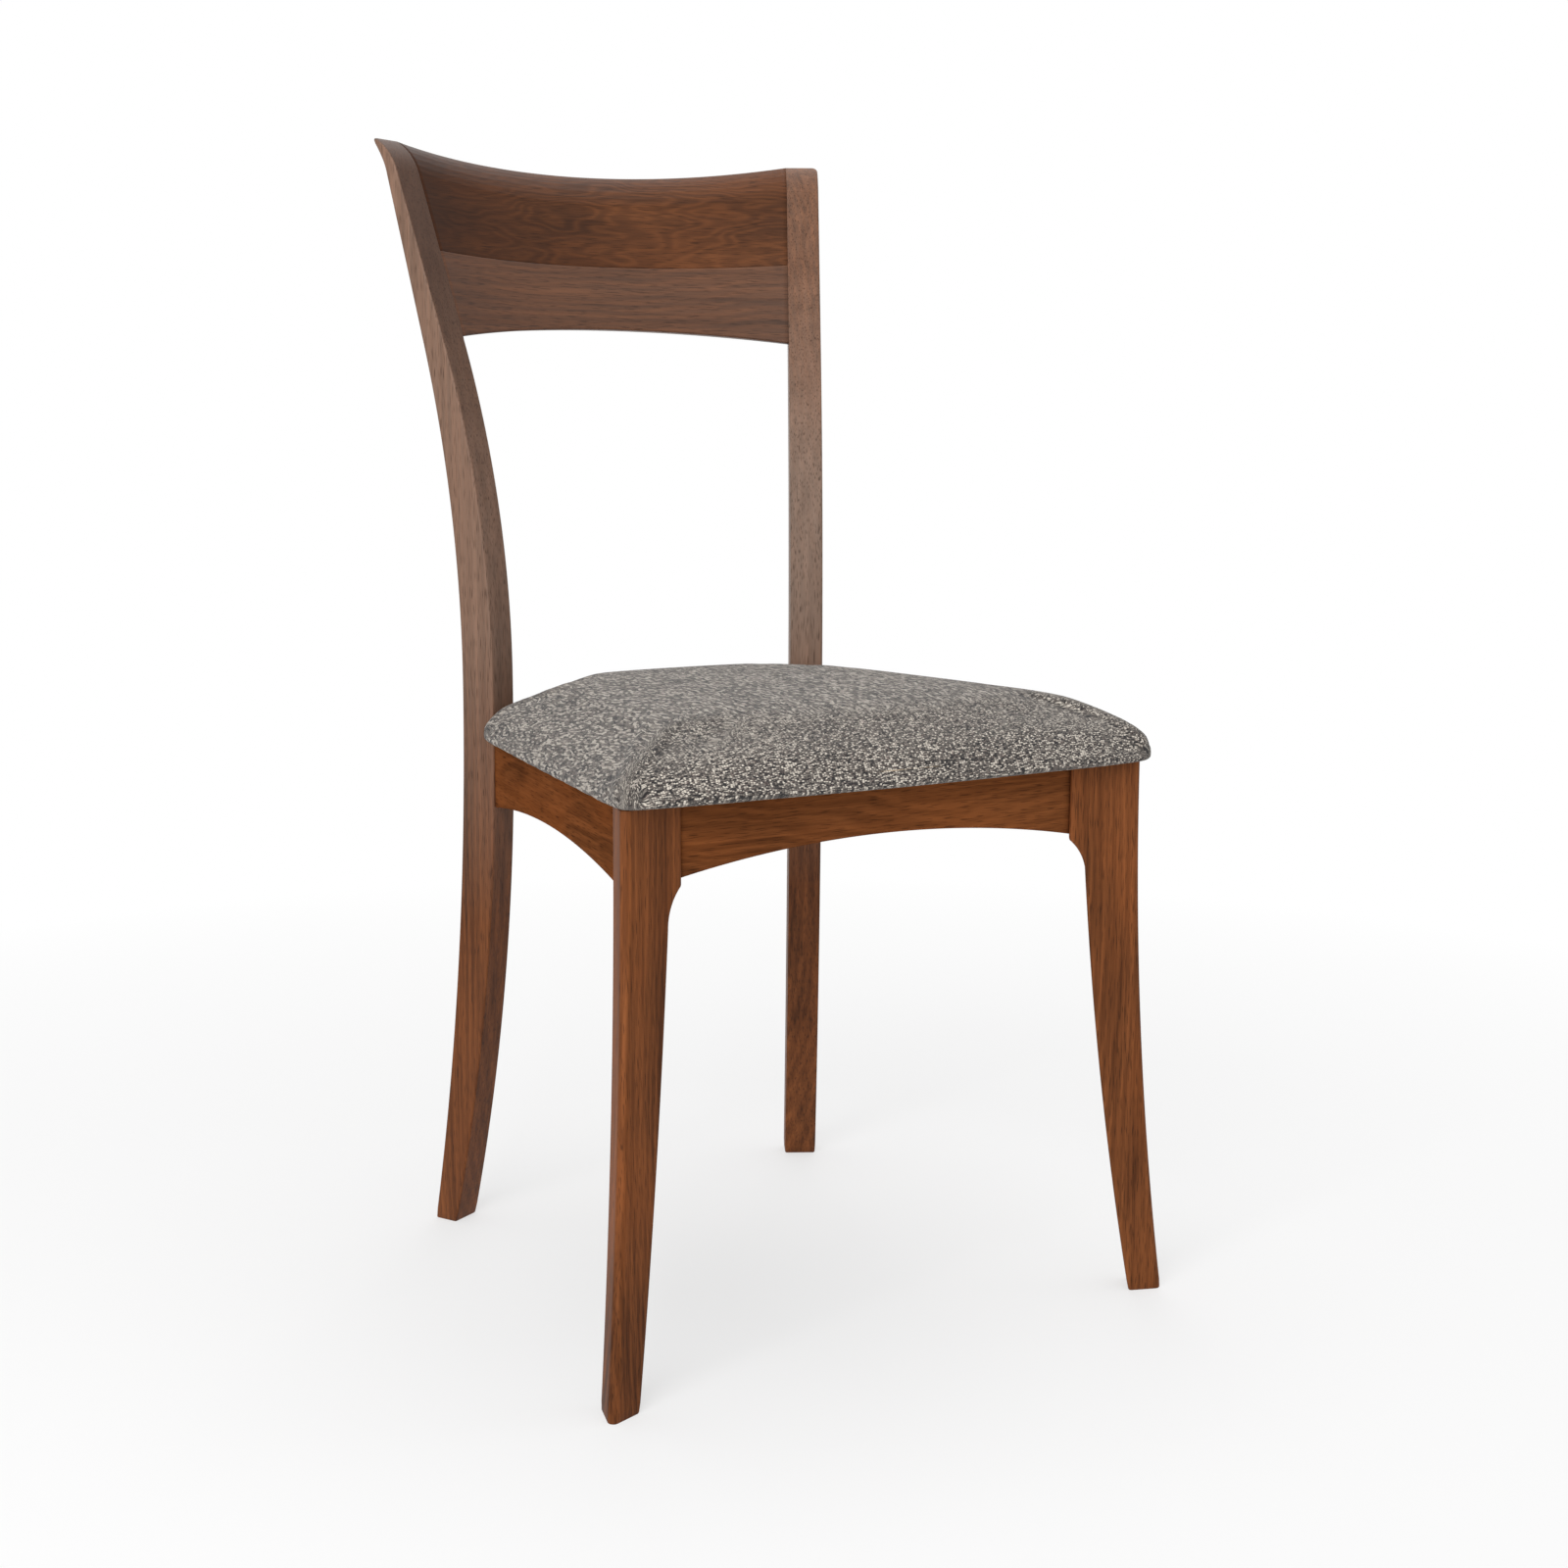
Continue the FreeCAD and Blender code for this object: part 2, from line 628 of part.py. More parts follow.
def pad_outline(inset, height):
    """Rounded plan of the pad drawn in by an inset: bowed front, sides drawn in to the back."""
    slope = math.tan(math.radians(S["side_apron_turn"].value))
    run = math.hypot(1.0, slope)
    base_y = side_rear_y.value
    base_x = side_rear_x.value + (S["pad_overhang"].value - inset) * run
    front = S["pad_front_y"].value + inset
    side_front = front + S["pad_bow"].value
    rear = S["pad_rear_y"].value - inset
    half_front = base_x + (base_y - side_front) * slope
    half_rear = base_x + (base_y - rear) * slope
    corner = max(S["pad_corner"].value - 0.25 * inset, 8.0)
    small = 8.0
    bend = 0.30 * corner
    bow_drop = S["pad_bow"].value * 0.22
    points = [
        (-half_front + corner, side_front - bow_drop),
        (half_front - corner, side_front - bow_drop),
        (half_front - corner * slope, side_front + corner),
        (half_rear + small * slope, rear - small),
        (half_rear - small, rear),
        (-half_rear + small, rear),
        (-half_rear - small * slope, rear - small),
        (-half_front + corner * slope, side_front + corner),
    ]
    spots = [FreeCAD.Vector(x, y, height) for x, y in points]
    mids = {
        0: FreeCAD.Vector(0, front, height),
        1: FreeCAD.Vector(half_front - bend, side_front + bend - bow_drop * 0.6, height),
        3: FreeCAD.Vector(half_rear - 0.28 * small, rear - 0.28 * small, height),
        5: FreeCAD.Vector(-half_rear + 0.28 * small, rear - 0.28 * small, height),
        7: FreeCAD.Vector(-half_front + bend, side_front + bend - bow_drop * 0.6, height),
    }
    edges = []
    for index, start in enumerate(spots):
        end = spots[(index + 1) % len(spots)]
        if index in mids:
            edges.append(Part.Arc(start, mids[index], end).toShape())
        else:
            edges.append(Part.LineSegment(start, end).toShape())
    return Part.Wire(edges)


PAD_LEVELS = ((3.0, 0.0), (0.0, 0.15), (1.0, 0.28), (6.0, 0.48), (14.0, 0.66),
              (27.0, 0.81), (50.0, 0.915), (85.0, 0.975), (120.0, 1.0))


def pad_solid(name, inset, low, high):
    """Crowned cushion: plans drawn in from level to level, more and more towards the top."""
    wires = []
    for draw_in, share in PAD_LEVELS:
        wires.append(pad_outline(draw_in + inset, low + (high - low) * share))
    item = doc.addObject("Part::Feature", name)
    item.Shape = Part.makeLoft(wires, True, True)
    return item


def pad_prism(name, inset, low, thickness):
    """Flat sheet with the pad's plan drawn in by an inset."""
    item = doc.addObject("Part::Feature", name)
    item.Shape = Part.Face(pad_outline(inset, low)).extrude(FreeCAD.Vector(0, 0, thickness))
    return item


def post_space(side, extra):
    """Upright space left for a post at a rear corner of the seat."""
    sign = side_sign(side)
    gap = S["post_clearance"].value + extra
    angle = math.radians(S["back_half_angle"].value)
    radius = S["back_radius"].value - gap
    across = FreeCAD.Vector(sign * math.cos(angle), -math.sin(angle), 0)
    outward = FreeCAD.Vector(sign * math.sin(angle), math.cos(angle), 0)
    wide = S["post_width"].value + 40.0
    deep = 3 * S["post_waist_depth"].value
    high = 4 * S["pad_thickness"].value
    centre = FreeCAD.Vector(0, S["back_axis_y"].value, S["rail_top"].value)
    spot = centre + outward * (radius + deep / 2) + across * (wide / 2 - gap)
    item = doc.addObject("Part::Box", "post_space_%s_%02d" % (side, round(extra * 10)))
    item.Length = wide
    item.Width = deep
    item.Height = high
    rotation = FreeCAD.Rotation(FreeCAD.Vector(0, 0, 1), -sign * S["back_half_angle"].value)
    half = FreeCAD.Vector(wide / 2, deep / 2, high / 2)
    item.Placement = FreeCAD.Placement(spot - rotation.multVec(half), rotation)
    return item


def seat_pieces(screws):
    """Plywood, foam, cloth and dust cloth, one inside the other."""
    low = S["rail_top"].value
    high = low + S["pad_thickness"].value
    cloth = S["cover_thickness"].value
    inner_low = low + cloth
    edges = {}
    for key, extra in (("cover", 0.0), ("foam", cloth), ("board", S["board_inset"].value - 2.0)):
        edges[key] = [post_space(side, extra) for side in ("right", "left")]
    inner = cut("foam_blank", pad_solid("foam_loft", cloth, inner_low, high - cloth), edges["foam"])
    outer = cut("cover_blank", pad_solid("cover_loft", 0.0, low, high), edges["cover"])
    board_blank = pad_prism("board_loft", S["board_inset"].value, inner_low, S["board_thickness"].value)
    board_solid = cut("board_blank", board_blank, edges["board"])
    opening = pad_prism("cover_opening", S["cover_return"].value, low - 1.0, cloth + 1.0)
    dust_low = inner_low - S["dust_cloth"].value
    dust = pad_prism("dust_sheet", S["cover_return"].value + 1.0, dust_low, S["dust_cloth"].value)
    return [
        cut("seat_cover", outer, [inner, opening, screws]),
        cut("seat_foam", inner, [board_solid]),
        cut("seat_board", board_solid, [screws]),
        cut("dust_cover", dust, [screws]),
    ]


def build():
    """Blanks first, then every joint cut from its neighbours."""
    sides = ("right", "left")
    posts = {side: post_blank(side) for side in sides}
    legs = {side: leg_blank(side) for side in sides}
    lower = crest_board("crest_lower", lower_section)
    upper = crest_board("crest_upper", upper_section)
    front = front_apron_blank()
    rear = rear_apron_blank()
    flanks = {side: side_apron_blank(side) for side in sides}
    frame_tenons = {side: apron_tenons(side) for side in sides}
    low_mid = (crest_low + glue_line) / 2
    high_mid = (glue_line + S["crest_tip"] - S["crest_roll"]) / 2
    low_tenons = {side: crest_tenon(side, "lower", low_mid) for side in sides}
    high_tenons = {side: crest_tenon(side, "upper", high_mid) for side in sides}
    blocks = {}
    risers = []
    for is_front in (True, False):
        for side in sides:
            blocks[is_front, side] = block_blank(is_front, side)
            risers.append(seat_screw(is_front, side))
    doc.recompute()
    pieces = []
    for side in sides:
        own = frame_tenons[side]
        tools = [own["post"], own["rear"], low_tenons[side], high_tenons[side]]
        pieces.append(cut("rear_post_" + side, posts[side], tools))
        pieces.append(cut("front_leg_" + side, legs[side], [own["front"], own["leg"]]))
        tools = [legs[side], posts[side], own["leg"], own["post"]]
        pieces.append(cut("side_apron_" + side, flanks[side], tools))
    for name, blank, ends, key in (("front_apron", front, legs, "front"),
                                    ("rear_apron", rear, posts, "rear")):
        tools = [ends[side] for side in sides] + [frame_tenons[side][key] for side in sides]
        pieces.append(cut(name, blank, tools))
    pieces.append(cut("crest_lower_board", lower, [low_tenons[side] for side in sides]))
    pieces.append(cut("crest_upper_board", upper, [high_tenons[side] for side in sides]))
    for index, (is_front, side) in enumerate(blocks):
        name = "corner_block_%s_%s" % ("front" if is_front else "rear", side)
        neighbour = legs[side] if is_front else posts[side]
        pieces.append(cut(name, blocks[is_front, side], [neighbour, risers[index]]))
    pieces.append(compound("apron_tenons", [own[key] for own in frame_tenons.values() for key in own]))
    pieces.append(compound("crest_tenons", list(low_tenons.values()) + list(high_tenons.values())))
    pieces.append(compound("seat_screws", risers))
    pieces += seat_pieces(pieces[-1])
    doc.recompute()
    return pieces


def write(pieces):
    """Check every piece, then save it under its own name."""
    for item in doc.Objects:
        if "Invalid" in item.State or "Error" in item.State:
            raise RuntimeError("%s is not built: %s" % (item.Name, item.State))
    os.makedirs("parts", exist_ok=True)
    for item in pieces:
        if item.Shape.isNull() or not item.Shape.isValid():
            raise RuntimeError("%s has no valid shape" % item.Label)
        item.Shape.exportStep("parts/%s.step" % item.Label)
        limits = item.Shape.BoundBox
        print("%-26s solids %2d volume %9.0f x %7.1f %7.1f y %7.1f %7.1f z %6.1f %6.1f" % (
            item.Label, len(item.Shape.Solids), item.Shape.Volume, limits.XMin, limits.XMax,
            limits.YMin, limits.YMax, limits.ZMin, limits.ZMax))


write(build())
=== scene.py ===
"""Looks of a walnut side chair with a curved, swept back and a tweed seat.

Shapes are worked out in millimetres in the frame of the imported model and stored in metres.
"""

import math

import bpy
import numpy as np
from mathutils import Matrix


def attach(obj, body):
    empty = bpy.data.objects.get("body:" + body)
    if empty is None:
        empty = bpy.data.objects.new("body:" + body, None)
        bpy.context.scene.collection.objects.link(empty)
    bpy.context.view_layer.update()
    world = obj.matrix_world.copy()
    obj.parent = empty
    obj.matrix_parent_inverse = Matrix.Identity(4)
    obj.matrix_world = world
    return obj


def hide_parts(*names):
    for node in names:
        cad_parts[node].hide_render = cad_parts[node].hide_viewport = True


bl_info = {
    "name": "Walnut side chair",
    "version": (1, 0, 0),
    "blender": (4, 5, 0),
    "location": "3D View > Sidebar > Chair",
    "description": "Dresses the packed chair: shaped walnut, tweed seat, studio",
    "category": "Object",
}

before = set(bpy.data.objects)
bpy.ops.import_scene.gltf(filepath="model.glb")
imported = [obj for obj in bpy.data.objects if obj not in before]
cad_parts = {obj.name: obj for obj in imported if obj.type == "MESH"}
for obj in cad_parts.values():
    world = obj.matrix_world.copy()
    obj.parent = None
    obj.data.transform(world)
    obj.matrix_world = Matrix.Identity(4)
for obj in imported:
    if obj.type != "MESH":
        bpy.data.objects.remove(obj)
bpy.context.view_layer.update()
MM = 0.001

# Posts and crest, in millimetres and radians: the back lies round an upright axis in front of it

AXIS_Y = -122.2
BACK_RADIUS = 276.3
HALF_ANGLE = math.radians(28.4)
POST_WIDTH = 28.0
FOOT_SWEEP = 48.6
FOOT_DEPTH = 21.5
WAIST_DEPTH = 30.7
WAIST_BOTTOM = 425.0
WAIST_TOP = 460.0
LEAN_START = 730.0
FRONT_LEAN = math.radians(18.2)
REAR_LEAN = math.radians(14.2)
TOP_ROUND = 4.0
CREST_TIP = 888.0
CREST_DIP = 14.0
CREST_ROLL = 26.0
CREST_KICK = 6.8
CREST_EDGE = 2.5
CREST_LOW = 733.0
CREST_ARCH = 10.0
CREST_EASE = 1.6
CREST_GRAIN_RADIUS = 340.0
GLUE_LINE = 796.0
SEAM_BOW = 5.0
SEAM_EASE = 0.45

# Front legs and aprons, in millimetres and radians

RAIL_TOP = 414.0
RAIL_LOW = 356.0
LEG_CORNER = (221.4, -242.7)
LEG_TURN = math.radians(38.5)
LEG_SWEEP = 27.9
LEG_WIDTH_TOP = 48.5
LEG_WIDTH_FOOT = 30.0
LEG_FRONT_ANGLE = math.radians(19.0)
LEG_SIDE_ANGLE = math.radians(36.5)
LEG_SIDE_DEPTH = 17.0
LEG_EAR = 56.3
LEG_COVE_LOW = 328.0
APRON_THICKNESS = 20.0
APRON_TOP_EASE = 0.6
APRON_TOP_GAP = 0.05
FRONT_APRON_Y = -220.0
FRONT_RISE = 20.0
CROSS_ARCH_PAST = 4.0
SIDE_TURN = math.radians(9.4)
SIDE_INSET = 1.0
SIDE_RISE = 14.0
SIDE_ARCH_PAST = 2.0
REAR_APRON_Y = AXIS_Y + BACK_RADIUS * math.cos(HALF_ANGLE) + 3.0
SIDE_REAR_X = BACK_RADIUS * math.sin(HALF_ANGLE) + POST_WIDTH * math.cos(HALF_ANGLE) - SIDE_INSET
SIDE_REAR_Y = (AXIS_Y + BACK_RADIUS * math.cos(HALF_ANGLE) - POST_WIDTH * math.sin(HALF_ANGLE)
               + SIDE_INSET * math.tan(HALF_ANGLE))

# Eased feet and the close stations at the ends of posts and legs, in millimetres

FOOT_EASE = 1.5
FOOT_DRAW = 1.0
END_EASE = 0.8

# The most of a side that a rounded corner, and its extra point, may take up

ARC_SHARE = 0.46
SUPPORT_SHARE = 0.49

# Seat pad and the cloth under it, in millimetres

PAD_FRONT_Y = -262.5
PAD_BOW = 9.0
PAD_CORNER_DROP = 1.5
PAD_BELLY_Y = -40.0
PAD_BELLY = 1.0
PAD_REAR_Y = 146.0
PAD_PRESS = 0.5
PAD_MIDDLE = (0.0, -70.0)
PAD_POINTS = 360
PAD_EDGE = 9.0
PAD_SHOULDER = 0.82
NOTCH_RISE = 2.1
RELAX_ROUNDS = 150
DUST_INSET = 30.5
DUST_FRONT_Y = -220.5
DUST_SIDE_Y = 73.0
DUST_REAR_Y = 98.5
DUST_CORNER = 8.0
DUST_MIDDLE = (0.0, -60.0)
DUST_SAG = 2.5
DUST_THICKNESS = 0.7
DUST_GAP = 0.7

# Stuffing of the pad, lengths in metres

PAD_VOXEL = 0.0055
HELD_BELOW = (RAIL_TOP + 3.0) * MM
SWELL_CAP = 0.006
SWELL_FRAMES = 20
PRESSURE = 4.0
STIFFNESS = 25.0

# Where painted sheen and painted shade lie on the walnut, along the grain, from and to, in metres

# Painted sheen greying a post from the seat upwards
SHEEN_ABOVE_SEAT = (0.26, 0.50)
# Painted sheen taken back near the top of a post
TOP_SHEEN_LOSS = (0.62, 0.80)
# Painted shade on a post's front faces near the top
TOP_SHADE = (0.58, 0.78)
# A post's outer face, kept free of that painted shade
OUTER_FACE = ((POST_WIDTH - 0.4) * MM, (POST_WIDTH - 1.4) * MM)
# Painted shade darkening the crest towards its left end
LEFT_END = (0.02, -0.17)

# Slubs of the tweed along and across the rows, in metres

SLUB = (0.0019, 0.0012)
LONG_SLUB = (0.0015, 0.0044)

# Tints that go with the colours of the property group, as linear values

WHITE = (1.0, 1.0, 1.0, 1.0)
RED_WALNUT = (0.27, 0.080, 0.022)
# Greyed brown: painted sheen on the posts, and a whole board's fade on the crest
FADE_AND_SHEEN_DARK = (0.145, 0.098, 0.072)
FADE_AND_SHEEN_LIGHT = (0.330, 0.240, 0.188)
PORE = (0.020, 0.009, 0.005)
# Near black between the slubs: painted shade in the gaps of the weave
PAINTED_GAP_SHADE = (0.012, 0.011, 0.012)
BROWN_YARN = (0.20, 0.15, 0.13)

# Camera: sizes of the photograph in its pixels, sensor in millimetres, place in metres, angles in degrees

PHOTO_WIDTH = 1600.0
PHOTO_FOCUS = 2240.75
PHOTO_SHIFT = 60.0
SENSOR_WIDTH = 36.0
CAMERA_PLACE = (-0.86740, -1.49470, 0.66165)
CAMERA_DROP = 9.234
CAMERA_TURN = -30.024
FLOOR_REACH = 30.0


def length_property(name, description, default):
    """Property for a length in metres."""
    return bpy.props.FloatProperty(name=name, description=description, default=default, unit="LENGTH")


def colour_property(name, description, default):
    """Property for a colour, as linear values."""
    return bpy.props.FloatVectorProperty(name=name, description=description, default=default,
                                         subtype="COLOR", size=3)


class ChairSizes(bpy.types.PropertyGroup):
    """Sizes of the finish that a user may change."""

    edge_ease: length_property("Edge ease", "Rounding of the long edges of the wood", 0.0016)
    leg_round: length_property("Leg corner", "Rounding of the outer corner of the front legs", 0.0045)
    pad_crown: length_property("Pad crown", "Height of the seat pad in the middle", 0.0520)
    pad_overhang: length_property("Pad overhang", "Seat pad past the outer face of the side aprons", 0.0160)


class ChairColours(bpy.types.PropertyGroup):
    """Colours that a user may change."""

    walnut_light: colour_property("Walnut light", "Wood between the growth lines", (0.235, 0.079, 0.026))
    # Also the colour of the painted shade on a post's front and at the crest's left end
    walnut_dark: colour_property("Walnut dark", "Dark growth lines", (0.045, 0.015, 0.006))
    tweed_dark: colour_property("Tweed dark", "Charcoal yarn", (0.026, 0.024, 0.025))
    tweed_mid: colour_property("Tweed grey", "Grey yarn", (0.190, 0.167, 0.147))
    tweed_light: colour_property("Tweed cream", "Cream slubs", (0.76, 0.69, 0.60))


def arc_away(distance, rise, sweep):
    """Sweep of a circle that starts upright and reaches the given sweep at the given rise."""
    radius = (rise * rise + sweep * sweep) / (2 * sweep)
    return radius - np.sqrt(np.maximum(radius * radius - distance * distance, 0.0))


def lean_away(z, lean):
    """Upright below the waist, then a circle that reaches the lean, then a straight line."""
    radius = (LEAN_START - WAIST_TOP) / math.sin(lean)
    bend = np.clip(z - WAIST_TOP, 0.0, LEAN_START - WAIST_TOP)
    straight = np.maximum(z - LEAN_START, 0.0) * math.tan(lean)
    return radius - np.sqrt(radius * radius - bend * bend) + straight


def back_front(z):
    """Front of the back, as a distance from its upright axis: sabre foot, waist, lean."""
    low = arc_away(np.maximum(WAIST_BOTTOM - z, 0.0), WAIST_BOTTOM, FOOT_SWEEP)
    return BACK_RADIUS + low + lean_away(z, FRONT_LEAN)


def back_rear(z):
    """Rear of the back, as a distance from its upright axis."""
    drop = FOOT_SWEEP + FOOT_DEPTH - WAIST_DEPTH
    low = arc_away(np.maximum(WAIST_TOP - z, 0.0), WAIST_TOP, drop)
    return BACK_RADIUS + WAIST_DEPTH + low + lean_away(z, REAR_LEAN)


def roll_front(z, tip):
    """Front near the top: a circle tangent to the lean that ends at the thin top edge."""
    start = tip - CREST_ROLL
    run = back_rear(tip) + CREST_KICK - CREST_EDGE - back_front(start)
    square = run * run + CREST_ROLL * CREST_ROLL
    radius = square / (2 * (run * math.cos(FRONT_LEAN) - CREST_ROLL * math.sin(FRONT_LEAN)))
    centre_r = back_front(start) + radius * math.cos(FRONT_LEAN)
    centre_z = start - radius * math.sin(FRONT_LEAN)
    on_roll = centre_r - np.sqrt(np.maximum(radius * radius - (z - centre_z) ** 2, 0.0))
    return np.where(z > start, on_roll, back_front(z))


def kick_rear(z, tip):
    """Rear near the top: the lean, flared back in a smooth curve to the top edge."""
    share = np.clip((z - tip + CREST_ROLL) / CREST_ROLL, 0.0, 1.0)
    return back_rear(z) + CREST_KICK * share * share * (1.5 - 0.5 * share)


def outlines(*corners):
    """Rows of polygons from each corner's two columns of values."""
    return np.stack([np.stack(np.broadcast_arrays(*corner), axis=1) for corner in corners], axis=1)


def rounded_loops(corners, radii, steps=4, support=0.8):
    """Rows of polygons with every corner rounded by a circle of its own radius.

    Each corner becomes the arc between its two tangent points, found by turning from one
    normal to the other, with one more point on each straight side to keep the flats flat.
    corners is rows by corners by 2, radii is broadcast to rows by corners.
    """
    radii = np.broadcast_to(np.asarray(radii, float), corners.shape[:2])
    before = np.roll(corners, 1, axis=1) - corners
    after = np.roll(corners, -1, axis=1) - corners
    long_before = np.linalg.norm(before, axis=2)
    long_after = np.linalg.norm(after, axis=2)
    before = before / long_before[..., None]
    after = after / long_after[..., None]
    cosine = np.clip((before * after).sum(axis=2), -0.9999, 0.9999)
    half = np.arccos(cosine) / 2
    reach = np.minimum(radii / np.tan(half), ARC_SHARE * np.minimum(long_before, long_after))
    radius = reach * np.tan(half)
    middle = before + after
    middle = middle / np.linalg.norm(middle, axis=2)[..., None]
    centre = corners + middle * (radius / np.sin(half))[..., None]
    first = corners + before * reach[..., None] - centre
    last = corners + after * reach[..., None] - centre
    swing = math.pi - 2 * half
    share = np.linspace(0.0, 1.0, steps)
    weight_first = np.sin((1 - share) * swing[..., None]) / np.sin(swing)[..., None]
    weight_last = np.sin(share * swing[..., None]) / np.sin(swing)[..., None]
    arc = centre[:, :, None] + weight_first[..., None] * first[:, :, None]
    arc = arc + weight_last[..., None] * last[:, :, None]
    extra_before = np.minimum(reach + support, SUPPORT_SHARE * long_before)
    extra_after = np.minimum(reach + support, SUPPORT_SHARE * long_after)
    start = corners + before * extra_before[..., None]
    end = corners + after * extra_after[..., None]
    loops = np.concatenate([start[:, :, None], arc, end[:, :, None]], axis=2)
    return loops.reshape(corners.shape[0], -1, 2)


def stations(length, count, extra):
    """Heights from 0 to a length: even ones, close ones at both ends, and extra ones."""
    close = np.array([0.0, 0.12, 0.45, 1.0]) * END_EASE
    even = np.linspace(END_EASE, length - END_EASE, count)[1:-1]
    return np.sort(np.concatenate([close, even, length - close[::-1], extra]))


def eased_foot(loops, z):
    """Loops near the floor drawn in towards their own middle."""
    draw = FOOT_DRAW * np.clip(1 - z / FOOT_EASE, 0.0, 1.0)
    middle = loops.mean(axis=1, keepdims=True)
    arm = loops - middle
    return middle + arm * (1 - draw[:, None, None] / np.linalg.norm(arm, axis=2, keepdims=True))


def drawn_to(middle, plan, share):
    """Copies of a plan, each drawn in towards a point by its share of the way."""
    return plan[None] + (np.array(middle) - plan)[None] * share[:, None, None]


def at_heights(flat, height):
    """Rings of points from plans and their heights."""
    return np.concatenate([flat, np.broadcast_to(height, flat.shape[:2])[..., None]], axis=2)


def solid_from_rings(name, rings, grain=None, mirror=False):
    """Closed piece from rings of points: quads between neighbours, a fan on each end ring."""
    count, around = rings.shape[:2]
    points = with_middles(rings) * MM
    if mirror:
        points = points * np.array([-1.0, 1.0, 1.0])
    row = np.arange(count - 1)[:, None] * around
    here = np.arange(around)[None, :]
    there = (here + 1) % around
    corners = [row + here, row + there, row + around + there, row + around + here]
    quads = np.stack(corners, axis=2).reshape(-1, 4)
    total = count * around
    last = total - around
    low_fan = np.stack([there[0], here[0], np.full(around, total)], axis=1)
    high_fan = np.stack([last + here[0], last + there[0], np.full(around, total + 1)], axis=1)
    mesh = bpy.data.meshes.new(name)
    mesh.from_pydata(points.tolist(), [], quads.tolist() + low_fan.tolist() + high_fan.tolist())
    if grain is not None:
        store_vectors(mesh, "grain", with_middles(grain) * MM)
    mesh.update()
    if signed_volume(points, quads) < 0:
        mesh.flip_normals()
    shade_smooth(mesh)
    piece = bpy.data.objects.new(name, mesh)
    bpy.context.scene.collection.objects.link(piece)
    return piece


def with_middles(rings):
    """All points of the rings, then the middle of the first ring and of the last ring."""
    return np.concatenate([rings.reshape(-1, 3), rings[:1].mean(axis=1), rings[-1:].mean(axis=1)])


def signed_volume(points, quads):
    """Six times the volume inside the quads, positive when they face outwards."""
    a, b, c, d = (points[quads[:, k]] for k in range(4))
    return float((a * np.cross(b, c)).sum() + (a * np.cross(c, d)).sum())


def shade_smooth(mesh):
    """Smooth shading on every face."""
    mesh.polygons.foreach_set("use_smooth", np.ones(len(mesh.polygons), bool))


def store_vectors(mesh, name, vectors):
    """Keep a vector on every vertex for a material to read."""
    layer = mesh.attributes.new(name, "FLOAT_VECTOR", "POINT")
    layer.data.foreach_set("vector", vectors.astype(np.float32).ravel())


def read_vectors(mesh, key):
    """Places or normals of all vertices, one row each."""
    values = np.zeros(len(mesh.vertices) * 3)
    mesh.vertices.foreach_get(key, values)
    return values.reshape(-1, 3)


def finish_piece(piece, nodes, material):
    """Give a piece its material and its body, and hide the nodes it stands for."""
    piece.data.materials.append(material)
    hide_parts(*nodes)
    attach(piece, "root")


def walnut_piece(name, node, shape, mirror=False, **look):
    """Piece of walnut from its rings and grain, with a finish of its own."""
    rings, grain = shape
    piece = solid_from_rings(name, rings, grain, mirror)
    finish_piece(piece, [node], walnut(name + "_finish", **look))


class Socket:
    """An output of a node that takes Python's arithmetic: each operator adds a Math node."""

    def __init__(self, maker, output):
        self.maker = maker
        self.output = output

    def also(self, name):
        """Another output of the same node."""
        return Socket(self.maker, self.output.node.outputs[name])

    def math(self, operation, *others):
        """Math node with this output first."""
        return self.maker.node("ShaderNodeMath", {"operation": operation}, [self, *others])

    def __add__(self, other):
        return self.math("ADD", other)

    __radd__ = __add__

    def __sub__(self, other):
        return self.math("SUBTRACT", other)

    def __rsub__(self, other):
        return self.maker.node("ShaderNodeMath", {"operation": "SUBTRACT"}, [other, self])

    def __mul__(self, other):
        return self.math("MULTIPLY", other)

    __rmul__ = __mul__

    def clamp(self):
        """This output, kept between 0 and 1."""
        return self.maker.node("ShaderNodeClamp", {}, [self])


